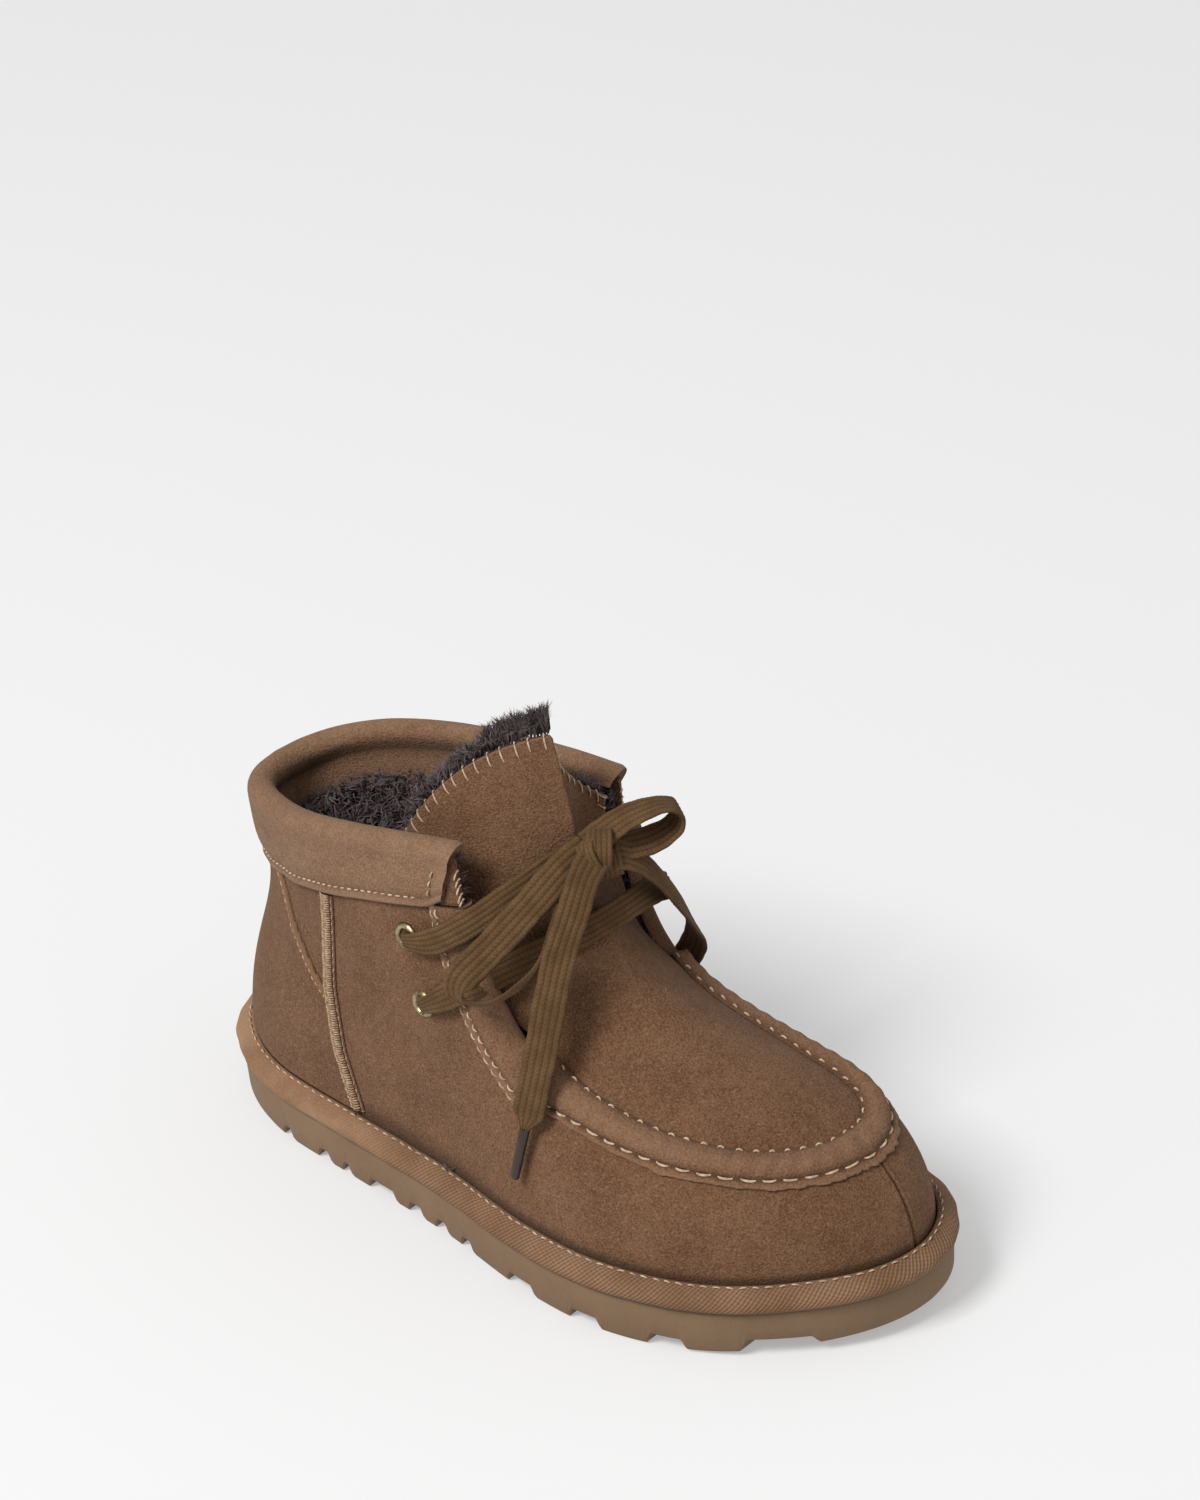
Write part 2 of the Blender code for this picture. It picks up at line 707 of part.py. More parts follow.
def cuff(look, parts):
    """Collar band folded over the top line, with a rolled edge and an inner leaf."""
    outer, inner = SOFT_GAP + CUFF_LEAF, WALL + SOFT_GAP + CUFF_LEAF
    bend = WALL / 2 + SOFT_GAP
    places = [(LATERAL, t) for t in reversed(COLLAR_TURNS)] + [(MEDIAL, t) for t in COLLAR_TURNS[1:]]
    sections = []
    for side, turn in places:
        reach = wall_length(side, turn)
        point, normal, upward = wall_frame(side, turn, 1.0)
        heart = point - normal * WALL / 2

        def leaf(depth, offset):
            return skin(side, turn, 1 - depth / reach, offset)

        def middle(offset):
            return skin(side, turn, WALL_LEVELS[-2], offset)

        def arc(degrees, radius):
            angle = math.radians(degrees)
            return heart + (normal * math.cos(angle) + upward * math.sin(angle)) * radius

        full = bend + CUFF_LEAF + COLLAR_ROLL
        section = [leaf(CUFF_DEPTH, outer), middle(outer), leaf(COLLAR_BEND, outer)]
        section += [arc(degrees, full) for degrees in (0, 40, 90, 140, 180)]
        section += [leaf(COLLAR_BEND, -inner), middle(-inner), leaf(CUFF_INNER_DEPTH, -inner)]
        section += [leaf(CUFF_INNER_DEPTH, -WALL - SOFT_GAP), middle(-WALL - SOFT_GAP)]
        section += [leaf(COLLAR_BEND, -WALL - SOFT_GAP)]
        section += [arc(degrees, bend) for degrees in (180, 90, 0)]
        section += [leaf(COLLAR_BEND, SOFT_GAP), middle(SOFT_GAP), leaf(CUFF_DEPTH, SOFT_GAP)]
        sections.append(section)
    return loft("cuff", sections, look, parts)


def on_apron(along, across):
    """Point of the apron above a place along and across."""
    share = 0.5
    for _ in range(4):
        low, high = THROAT - 0.06, 1.0
        for _ in range(24):
            turn = (low + high) / 2
            if apron(turn, share).x < along:
                low = turn
            else:
                high = turn
        outer, inner = top_line(LATERAL, turn).y, top_line(MEDIAL, turn).y
        share = min(1.0, max(0.0, (across - outer) / max(inner - outer, 1e-6)))
    return Vector((along, across, apron(turn, share).z))


def apron_skin(along, across, offset):
    """Point at an offset from the apron's outer face."""
    step = 0.0008
    slope_along = on_apron(along + step, across) - on_apron(along - step, across)
    slope_across = on_apron(along, across + step) - on_apron(along, across - step)
    normal = slope_along.cross(slope_across).normalized()
    return on_apron(along, across) + normal * offset


def seam_tangent(side, turn):
    """Direction of the top line from heel to toe."""
    step = 0.004
    ahead = (side, turn + step) if turn + step <= 1 else (-side, 2 - turn - step)
    return (top_line(*ahead) - top_line(side, turn - step)).normalized()


def apron_roll_section(side, turn):
    """Section of the padded seam: flange, outer stitch line, crest and inner foot."""
    reach = wall_length(side, turn)
    point, normal, _ = wall_frame(side, turn, 1.0)
    tangent = seam_tangent(side, turn)
    inward = Vector((tangent.y, -tangent.x, 0)).normalized() * side
    crest = (normal + Vector((0, 0, 1.2))).normalized()
    ease = min(1.0, (turn - THROAT) / 0.06)
    foot = BINDING_WIDTH + (ROLL_OUTER + ROLL_FLANGE - BINDING_WIDTH) * ease
    seam = foot - ROLL_FLANGE

    def outside(distance, offset):
        return skin(side, turn, 1 - distance / reach, SOFT_GAP + offset)

    def inside(distance, offset):
        spot = point + inward * distance
        return apron_skin(spot.x, spot.y, SOFT_GAP + offset)

    return [
        outside(foot, 0), outside(foot / 2, 0), point + crest * SOFT_GAP,
        inside(ROLL_INNER / 2, 0), inside(ROLL_INNER, 0),
        inside(ROLL_INNER, FLANGE_THICKNESS), inside(ROLL_INNER / 2, ROLL_HEIGHT * 0.85),
        point + crest * (SOFT_GAP + ROLL_HEIGHT),
        outside(seam * 0.55, ROLL_HEIGHT * 0.85), outside(seam, FLANGE_THICKNESS * 1.2),
        outside(foot, FLANGE_THICKNESS),
    ]


def binding_section(side, turn):
    """Section of the facing's binding, folded over the cut edge of the wall."""
    point, normal, upward = wall_frame(side, turn, 1.0)
    tangent = seam_tangent(side, turn)
    back = Vector((tangent.z, -tangent.x))
    if back.x > 0:
        back = -back
    back.normalize()
    edge = normal.cross(tangent).normalized()
    if edge.x < 0:
        edge = -edge

    def outside(distance, offset):
        turn_there, level = wall_place(side, point.x + back.x * distance, point.z + back.y * distance)
        return skin(side, turn_there, level, SOFT_GAP + offset)

    def around(depth, offset):
        return point - normal * depth + edge * (2 * GAP + offset)

    return [
        outside(BINDING_WIDTH, 0), outside(BINDING_WIDTH / 2, 0), around(-SOFT_GAP, 0),
        around(WALL / 2, 0), around(WALL, 0),
        around(WALL, BINDING_HEIGHT), around(WALL / 2, BINDING_HEIGHT * 1.2),
        around(-SOFT_GAP - BINDING_HEIGHT * 0.8, BINDING_HEIGHT * 0.7),
        outside(BINDING_WIDTH * 0.3, BINDING_HEIGHT), outside(BINDING_WIDTH * 0.75, BINDING_HEIGHT),
        outside(BINDING_WIDTH, FLANGE_THICKNESS),
    ]


def roll(look, parts):
    """Raised seam round the apron, running up both facings as their binding."""
    start = turn_at(BINDING_START)
    run = [t for t in TURNS if t >= start]
    places = [(LATERAL, t) for t in run] + [(MEDIAL, t) for t in reversed(run[:-1])]
    sections = [apron_roll_section(side, turn) if turn >= THROAT else binding_section(side, turn)
                for side, turn in places]
    return loft("apron_roll", sections, look, parts)


def counter(look, parts):
    """Heel counter: an overlay between the two side seams, under the cuff."""
    clear = SIDE_SEAM_WIDTH / 2 + 3 * SOFT_GAP
    count = 6
    foot = 0.035
    behind_seams = min(row[1] for row in SIDE_SEAM_ROWS) * LENGTH - 3 * clear
    turns = [t for t in COLLAR_TURNS if feather(LATERAL, t).x < behind_seams]

    def section(side, spots):
        under = [skin(side, turn, level, SOFT_GAP) for turn, level in spots]
        over = [skin(side, turn, level, SOFT_GAP + COUNTER_THICKNESS) for turn, level in reversed(spots)]
        return under + over

    def front_edge(side):
        low = wall(side, turns[-1], foot).z
        top = COUNTER_ROWS[-1][1] * COLLAR_HEIGHT
        spots = []
        for up in spread(low, top, count):
            along = read_plain(SIDE_SEAM_ROWS, up / COLLAR_HEIGHT) * LENGTH - clear
            spots.append(wall_place(side, along, up))
        return section(side, spots)

    sections = [front_edge(LATERAL)]
    for side, turn in [(LATERAL, t) for t in reversed(turns)] + [(MEDIAL, t) for t in turns[1:]]:
        ceiling = 1 - (CUFF_DEPTH + 2 * SOFT_GAP) / wall_length(side, turn)
        high = foot
        for level in spread(foot, ceiling, 60):
            point = wall(side, turn, level)
            if point.z > read_plain(COUNTER_ROWS, point.x / LENGTH) * COLLAR_HEIGHT:
                break
            high = level
        sections.append(section(side, [(turn, level) for level in spread(foot, high, count)]))
    sections.append(front_edge(MEDIAL))
    return loft("heel_counter", sections, look, parts)


def read_plain(rows, key):
    """Second column at a key of the first, straight between rows and level past them."""
    if key <= rows[0][0]:
        return rows[0][1]
    for (k0, v0), (k1, v1) in zip(rows, rows[1:]):
        if key <= k1:
            return v0 + (v1 - v0) * (key - k0) / (k1 - k0)
    return rows[-1][1]


def side_seam(name, side, look, parts):
    """Overlocked ridge down the side, from under the cuff to the rand."""
    steps = 12
    sections = []
    for up in spread(SIDE_SEAM_ROWS[0][0], SIDE_SEAM_ROWS[-1][0], steps + 1):
        along = read_plain(SIDE_SEAM_ROWS, up) * LENGTH
        section = []
        for across, height in ((-0.5, 0), (0.5, 0), (0.5, 0.45), (0.25, 0.95), (-0.25, 0.95), (-0.5, 0.45)):
            turn, level = wall_place(side, along + across * SIDE_SEAM_WIDTH, up * COLLAR_HEIGHT)
            section.append(skin(side, turn, level, SOFT_GAP + height * SIDE_SEAM_HEIGHT))
        sections.append(section)
    return loft(name, sections, look, parts)


def tongue(look, parts):
    """Broad roof-folded tongue that carries the apron on above the throat."""
    margin = 0.075
    shares = spread(0.0, 1.0, TONGUE_COLUMNS + 1)
    first = [apron(THROAT, margin + (1 - 2 * margin) * share) - Vector((SOFT_GAP, 0, 0)) for share in shares]
    controls = [first]
    for row in TONGUE_ROWS:
        ridge = Vector((row[0] * LENGTH, RIDGE_ACROSS * HALF_BALL, row[1] * COLLAR_HEIGHT))
        outer, fold, inner = [Vector((row[k] * LENGTH, row[k + 1] * HALF_BALL, row[k + 2] * COLLAR_HEIGHT))
                              for k in (2, 5, 8)]
        line = []
        for share in shares:
            out = abs(2 * share - 1)
            if share < 0.5:
                rounded = out ** 1.15
                bulge = Vector((-0.35, -0.45, 0.80)).normalized() * row[11] * HALF_BALL
                line.append(ridge.lerp(outer, rounded) + bulge * 4 * rounded * (1 - rounded))
            else:
                line.append(ridge.lerp(fold, out).lerp(fold.lerp(inner, out), out))
        controls.append(line)
    lines = []
    for i in range(len(controls) - 1):
        for part in range(3):
            lines.append([blend(controls, i, c, part / 3) for c in range(len(shares))])
    lines.append(controls[-1])
    points = [p for line in lines for p in line]
    count = len(shares)
    faces = []
    for i in range(len(lines) - 1):
        for c in range(count - 1):
            faces.append((i * count + c, i * count + c + 1, (i + 1) * count + c + 1, (i + 1) * count + c))
    sheet = add_object("tongue", points, faces, look, parts)
    thick = sheet.modifiers.new("leather", "SOLIDIFY")
    thick.thickness = TONGUE_THICKNESS
    thick.offset = -1
    return sheet


def blend(lines, i, c, t):
    """Point on a smooth curve through the lines' points of one column."""
    a = lines[max(i - 1, 0)][c]
    b, d = lines[i][c], lines[i + 1][c]
    e = lines[min(i + 2, len(lines) - 1)][c]
    return (b * 2 + (d - a) * t + (a * 2 - b * 5 + d * 4 - e) * t ** 2 + (b * 3 - a - d * 3 + e) * t ** 3) / 2


def ribbon(name, path, width, thickness, look, parts):
    """Flat lace along a smooth curve through points with face directions."""
    rows = [[Vector(row[:3]), Vector(row[3:])] for row in path]
    places, faces_to = [], []
    for i in range(len(rows) - 1):
        for part in range(3):
            places.append(blend([[r[0]] for r in rows], i, 0, part / 3))
            faces_to.append(rows[i][1].lerp(rows[i + 1][1], part / 3))
    places.append(rows[-1][0])
    faces_to.append(rows[-1][1])
    sections = []
    for i, point in enumerate(places):
        tangent = (places[min(i + 1, len(places) - 1)] - places[max(i - 1, 0)]).normalized()
        side = tangent.cross(faces_to[i]).normalized()
        face = side.cross(tangent).normalized()
        corners = ((-0.5, 0), (-0.42, 0.5), (0.42, 0.5), (0.5, 0), (0.42, -0.5), (-0.42, -0.5))
        sections.append([point + side * a * width + face * b * thickness for a, b in corners])
    return loft(name, sections, look, parts)


def run_from_eyelet(side, number, path):
    """A run's points with its first one just outside the eyelet."""
    centre, axis = eyelet_frame(side, number)
    mouth = centre + axis * (SOFT_GAP + EYELET_RIM + LACE_THICKNESS / 2 + SOFT_GAP)
    return [(*mouth, *axis)] + path


def knot(look, parts):
    """Bow's knot as one rounded solid."""
    form = bmesh.new()
    bmesh.ops.create_uvsphere(form, u_segments=14, v_segments=8, radius=0.5)
    mesh = bpy.data.meshes.new("lace_knot")
    form.to_mesh(mesh)
    form.free()
    for vertex in mesh.vertices:
        vertex.co = vertex.co * KNOT_SIZE
        vertex.co.x *= 1.05
        vertex.co.y *= 0.62
    mesh.shade_smooth()
    mesh.materials.append(look)
    made = bpy.data.objects.new("lace_knot", mesh)
    made.location = place(KNOT_CENTRE)
    parts.objects.link(made)
    return made


def aglet(name, path, look, parts):
    """Stiff tip on the end of the lace, in line with its last stretch."""
    end, before = Vector(path[-1][:3]), Vector(path[-2][:3])
    direction = (end - before).normalized()
    start = end + direction * GAP
    side = direction.cross(Vector(path[-1][3:])).normalized()
    face = side.cross(direction)
    sections = []
    for share, size in ((0, 1), (0.85, 1), (1, 0.7)):
        centre = start + direction * AGLET_LENGTH * share
        ring = [math.radians(45 * k) for k in range(8)]
        radius = AGLET_DIAMETER / 2 * size
        sections.append([centre + (side * math.cos(a) + face * math.sin(a)) * radius for a in ring])
    return loft(name, sections, look, parts)


def build():
    for old in list(bpy.data.objects):
        bpy.data.objects.remove(old)
    parts = bpy.data.collections.new("teddy_boot")
    cutters = bpy.data.collections.new("cutters")
    for collection in (parts, cutters):
        bpy.context.scene.collection.children.link(collection)

    suede = material("suede", (0.195, 0.112, 0.062), 0.92)
    trim = material("suede_trim", (0.255, 0.155, 0.090), 0.92)
    rubber = material("outsole_rubber", (0.230, 0.160, 0.100), 0.70)
    board = material("lining", (0.070, 0.052, 0.056), 0.98)
    brass = material("antique_brass", (0.360, 0.290, 0.160), 0.38, 1.0)
    braid = material("lace_braid", (0.130, 0.082, 0.036), 0.80)
    tip = material("aglet_plastic", (0.030, 0.018, 0.012), 0.35)

    outsole(rubber, parts, cutters)
    rand(trim, parts)
    insole(board, parts)
    upper(suede, parts, cutters)
    tongue(suede, parts)
    cuff(trim, parts)
    roll(trim, parts)
    counter(suede, parts)
    side_seam("side_seam_lateral", LATERAL, trim, parts)
    side_seam("side_seam_medial", MEDIAL, trim, parts)
    for side, word in ((LATERAL, "lateral"), (MEDIAL, "medial")):
        for number, level in enumerate(("lower", "upper")):
            eyelet(f"eyelet_{level}_{word}", side, number, brass, parts)

    bar = run_from_eyelet(LATERAL, 0, LOWER_BAR)
    bar += run_from_eyelet(MEDIAL, 0, [])
    ribbon("lace_lower_bar", bar, LACE_WIDTH, LACE_THICKNESS, braid, parts)
    for side, word, path in ((LATERAL, "lateral", UPPER_RUN_LATERAL), (MEDIAL, "medial", UPPER_RUN_MEDIAL)):
        run = run_from_eyelet(side, 1, path)
        ribbon(f"lace_upper_run_{word}", run, LACE_WIDTH, LACE_THICKNESS, braid, parts)
    knot(braid, parts)
    ribbon("bow_loop_lateral", LOOP_LATERAL, LACE_WIDTH, LACE_THICKNESS, braid, parts)
    ribbon("bow_loop_medial", LOOP_MEDIAL, LACE_WIDTH, LACE_THICKNESS, braid, parts)
    ribbon("lace_end_lateral", END_LATERAL, LACE_WIDTH, LACE_THICKNESS, braid, parts)
    ribbon("lace_end_medial", END_MEDIAL, LACE_WIDTH, LACE_THICKNESS, braid, parts)
    aglet("aglet_lateral", END_LATERAL, tip, parts)
    aglet("aglet_medial", END_MEDIAL, tip, parts)


build()
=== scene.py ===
"""Teddy boot, dressed: suede, fleece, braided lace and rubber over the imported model.

Boot coordinates are along (heel to toe), across (little toe side negative) and up, in
metres; place() turns them into the frame's own.
"""
import math
import random

import bpy
import numpy as np
from mathutils import Matrix, Vector


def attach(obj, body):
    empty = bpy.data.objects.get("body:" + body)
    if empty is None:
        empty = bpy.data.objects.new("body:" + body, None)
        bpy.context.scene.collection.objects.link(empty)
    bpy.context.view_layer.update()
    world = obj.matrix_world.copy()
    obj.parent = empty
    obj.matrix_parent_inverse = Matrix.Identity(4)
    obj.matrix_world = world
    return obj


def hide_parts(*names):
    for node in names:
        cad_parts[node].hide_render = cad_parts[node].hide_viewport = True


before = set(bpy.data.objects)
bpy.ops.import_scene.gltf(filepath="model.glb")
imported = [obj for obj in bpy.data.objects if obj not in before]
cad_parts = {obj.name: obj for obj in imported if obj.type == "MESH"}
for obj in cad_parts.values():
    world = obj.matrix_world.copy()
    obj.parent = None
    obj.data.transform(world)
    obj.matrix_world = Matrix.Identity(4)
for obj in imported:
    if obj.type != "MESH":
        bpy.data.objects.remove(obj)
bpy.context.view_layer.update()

# Camera, light and floor. The boot is photographed from its outer toe side with a long
# lens held slightly off level, in a pale studio with one broad soft light high on the left.
YAW, PITCH, TILT = (math.radians(angle) for angle in (45.18, 30.99, 5.05))
CAMERA_SPOT = (-0.89576, -0.92030, 0.92846)
toward_camera = Vector((-math.sin(YAW) * math.cos(PITCH), -math.cos(YAW) * math.cos(PITCH),
                        math.sin(PITCH)))
level_right = (-toward_camera).cross(Vector((0, 0, 1))).normalized()
level_up = toward_camera.cross(level_right)
picture_right = level_right * math.cos(TILT) - level_up * math.sin(TILT)
picture_up = level_right * math.sin(TILT) + level_up * math.cos(TILT)
lens = bpy.data.cameras.new("camera")
lens.lens = 119.8
lens.sensor_width = 36
lens.clip_end = 10
camera = bpy.data.objects.new("camera", lens)
camera.matrix_world = Matrix.Translation(CAMERA_SPOT) @ Matrix(
    (picture_right, picture_up, toward_camera)).transposed().to_4x4()
bpy.context.scene.collection.objects.link(camera)
bpy.context.scene.camera = camera
bpy.context.scene.view_settings.view_transform = "Standard"

studio = bpy.data.worlds.new("studio")
studio.use_nodes = True
backdrop = studio.node_tree.nodes["Background"]
backdrop.inputs["Color"].default_value = (1.0, 1.0, 1.0, 1)
backdrop.inputs["Strength"].default_value = 0.47
bpy.context.scene.world = studio


BOOT_MIDDLE = Vector((0, 0, 0.06))


def soft_light(name, place_at, size, power):
    """Square soft light aimed at the middle of the boot."""
    lamp = bpy.data.lights.new(name, "AREA")
    lamp.size = size
    lamp.energy = power
    made = bpy.data.objects.new(name, lamp)
    made.location = place_at
    made.rotation_euler = (Vector(place_at) - BOOT_MIDDLE).to_track_quat("Z", "Y").to_euler()
    bpy.context.scene.collection.objects.link(made)


soft_light("key_light", (-2.05, 0.30, 2.70), size=1.2, power=98.0)
soft_light("fill_light", (0.2, -1.9, 0.9), size=1.4, power=4.0)

FLOOR_DROP = 0.0002
FLOOR_REACH = 5
FLOOR_CORNERS = ((-1, -1), (1, -1), (1, 1), (-1, 1))
floor_mesh = bpy.data.meshes.new("floor")
floor_mesh.from_pydata([(x * FLOOR_REACH, y * FLOOR_REACH, -FLOOR_DROP) for x, y in FLOOR_CORNERS], [],
                       [(0, 1, 2, 3)])
floor = bpy.data.objects.new("floor", floor_mesh)
bpy.context.scene.collection.objects.link(floor)
paper = bpy.data.materials.new("studio_floor")
paper.use_nodes = True
for socket, value in (("Base Color", (0.50, 0.50, 0.50, 1)), ("Emission Color", (1.0, 1.0, 1.0, 1)),
                      ("Emission Strength", 0.335), ("Roughness", 0.9), ("Specular IOR Level", 0.1)):
    paper.node_tree.nodes["Principled BSDF"].inputs[socket].default_value = value
floor_mesh.materials.append(paper)

# The lace. One flat braided cotton lace, olive brown, of lengthwise ribs of small
# chevrons. It comes out of the eyelets, crosses the tongue low down, and is tied over
# the tongue in a bow whose ends hang down with film tips.
MIDDLE_ALONG, MIDDLE_ACROSS = 0.1360, -0.00167
LACE_WIDTH = 0.0104
LACE_THICKNESS = 0.0019
LACE_RIBS = 5
CHEVRON_PITCH = 0.00145
LACE_STEP = 0.00048
LACE_COLOUR = (0.125, 0.068, 0.028)
LACE_DARK, LACE_PALE = (0.108, 0.057, 0.023), (0.150, 0.084, 0.036)
LACE_SHADE = (0.045, 0.022, 0.009)
RIB_HEIGHT = 0.00042
RIB_COLUMNS = 6
CHEVRON_SLANT = 0.80


def place(point):
    """Frame position of a point in boot coordinates."""
    return Vector((point[1] - MIDDLE_ACROSS, MIDDLE_ALONG - point[0], point[2]))


class Value:
    """A shader socket; arithmetic on it adds Math nodes to its finish."""

    def __init__(self, finish, socket):
        self.finish, self.socket = finish, socket

    def math(self, operation, *inputs, clamp=False):
        return self.finish.node("ShaderNodeMath", {"operation": operation, "use_clamp": clamp},
                                dict(enumerate(inputs)))

    def __add__(self, other):
        return self.math("ADD", self, other)

    def __sub__(self, other):
        return self.math("SUBTRACT", self, other)

    def __rsub__(self, other):
        return self.math("SUBTRACT", other, self)

    def __mul__(self, other):
        return self.math("MULTIPLY", self, other)

    def above(self, low, high):
        """0 below low and 1 above high, straight between."""
        return self.math("MULTIPLY", self - low, 1 / (high - low), clamp=True)

    def wave(self):
        """0 to 1 and back once for each whole step of this value."""
        return self.math("SINE", self * (2 * math.pi)) * 0.5 + 0.5

    __radd__ = __add__
    __rmul__ = __mul__


class Finish:
    """One material, with one shader, to which nodes are added one way."""

    def __init__(self, name, colour, roughness, metallic=0.0, sheen=0.0, specular=0.3):
        self.material = bpy.data.materials.new(name)
        self.material.use_nodes = True
        self.shader = self.material.node_tree.nodes["Principled BSDF"]
        constants = {"Base Color": colour, "Roughness": roughness, "Metallic": metallic,
                     "Sheen Weight": sheen, "Specular IOR Level": specular}
        for socket, value in constants.items():
            self.put(self.shader.inputs[socket], value)

    def put(self, socket, value):
        if isinstance(value, Value):
            self.material.node_tree.links.new(value.socket, socket)
        elif socket.type == "RGBA" and not isinstance(value, (int, float)):
            socket.default_value = (*value, 1)
        else:
            socket.default_value = value

    def node(self, kind, settings=None, inputs=None, out=0):
        made = self.material.node_tree.nodes.new(kind)
        for key, value in (settings or {}).items():
            setattr(made, key, value)
        for key, value in (inputs or {}).items():
            self.put(made.inputs[key], value)
        return Value(self, made.outputs[out])

    def noise(self, size, detail=2.0, stretch=None):
        """Noise with features about size metres across."""
        spot = self.node("ShaderNodeTexCoord", out=3)
        if stretch:
            spot = self.node("ShaderNodeVectorMath", {"operation": "MULTIPLY"}, {0: spot, 1: stretch})
        return self.node("ShaderNodeTexNoise",
                         inputs={"Vector": spot, "Scale": 1 / size, "Detail": detail})

    def shade(self, word):
        """A mesh's own value, such as how deep in a groove a point lies."""
        return self.node("ShaderNodeAttribute", {"attribute_name": word}, out=2)

    def mix(self, share, a, b):
        return self.node("ShaderNodeMix", {"data_type": "RGBA"}, {0: share, 6: a, 7: b}, out=2)

    def colour(self, value):
        self.put(self.shader.inputs["Base Color"], value)

    def rough(self, value):
        self.put(self.shader.inputs["Roughness"], value)

    def bump(self, height, distance):
        self.put(self.shader.inputs["Normal"],
                 self.node("ShaderNodeBump", inputs={"Height": height, "Distance": distance}))


def piece(name, points, faces, finish, stands_for=(), divide=0, shades=None):
    """A smooth mesh piece from boot coordinates that rides on the boot."""
    mesh = bpy.data.meshes.new(name)
    mesh.from_pydata([place(p) for p in points], [], faces)
    mesh.materials.append(finish.material)
    mesh.polygons.foreach_set("use_smooth", [True] * len(mesh.polygons))
    for word, values in (shades or {}).items():
        attribute = mesh.attributes.new(word, "FLOAT", "POINT")
        attribute.data.foreach_set("value", [float(v) for v in values])
    made = bpy.data.objects.new(name, mesh)
    bpy.context.scene.collection.objects.link(made)
    if divide:
        smooth = made.modifiers.new("smooth", "SUBSURF")
        smooth.levels = smooth.render_levels = divide
    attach(made, "root")
    if stands_for:
        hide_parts(*stands_for)
    return made


def grid_faces(rows, columns, closed_columns=False, closed_rows=False, start=0):
    """Quads of a grid of points given row after row."""
    faces = []
    for i in range(rows if closed_rows else rows - 1):
        for j in range(columns if closed_columns else columns - 1):
            i2, j2 = (i + 1) % rows, (j + 1) % columns
            faces.append((start + i * columns + j, start + i * columns + j2,
                          start + i2 * columns + j2, start + i2 * columns + j))
    return faces


def tube_faces(rows, columns, start=0):
    """Quads of a tube of closed rings, with a face over each end."""
    last = start + (rows - 1) * columns
    return grid_faces(rows, columns, closed_columns=True, start=start) + [
        tuple(range(start, start + columns)), tuple(range(last, last + columns))[::-1]]


def lengths_along(points):
    """How far each point of a line lies from its start."""
    return np.concatenate([[0], np.cumsum(np.linalg.norm(np.diff(points, axis=0), axis=1))])


def curve_between(a, b, c, d, share):
    """Point at a share of the way from b to c, on a smooth curve through a, b, c and d."""
    return (2 * b + (c - a) * share + (2 * a - 5 * b + 4 * c - d) * share ** 2
            + (3 * b - a - 3 * c + d) * share ** 3) / 2


def smooth_rows(rows, step):
    """Even rows, step apart, on a smooth curve through rows whose first three numbers
    are a point."""
    rows = np.array(rows, float)
    fine = []
    for i in range(len(rows) - 1):
        four = rows[max(i - 1, 0)], rows[i], rows[i + 1], rows[min(i + 2, len(rows) - 1)]
        fine += [curve_between(*four, share) for share in np.arange(0, 1, 0.05)]
    fine = np.array(fine + [rows[-1]])
    reach = lengths_along(fine[:, :3])
    count = max(4, int(round(reach[-1] / step)) + 1)
    wanted = np.linspace(0, reach[-1], count)
    columns = [np.interp(wanted, reach, fine[:, k]) for k in range(fine.shape[1])]
    return np.stack(columns, axis=1), wanted


def unit(vectors):
    return vectors / np.maximum(np.linalg.norm(vectors, axis=-1, keepdims=True), 1e-12)


def eased(share):
    share = np.clip(share, 0, 1)
    return share * share * (3 - 2 * share)


lace_braid = Finish("lace_braid", LACE_COLOUR, 0.85, sheen=0.04, specular=0.15)
tone = lace_braid.mix(lace_braid.noise(0.006).above(0.35, 0.65), LACE_DARK, LACE_PALE)
# Painted shade: the grooves between the ribs and chevrons are darkened towards LACE_SHADE.
lace_braid.colour(lace_braid.mix(lace_braid.shade("groove"), tone, LACE_SHADE))
lace_braid.bump(lace_braid.noise(0.00035, 1.0), 0.0002)


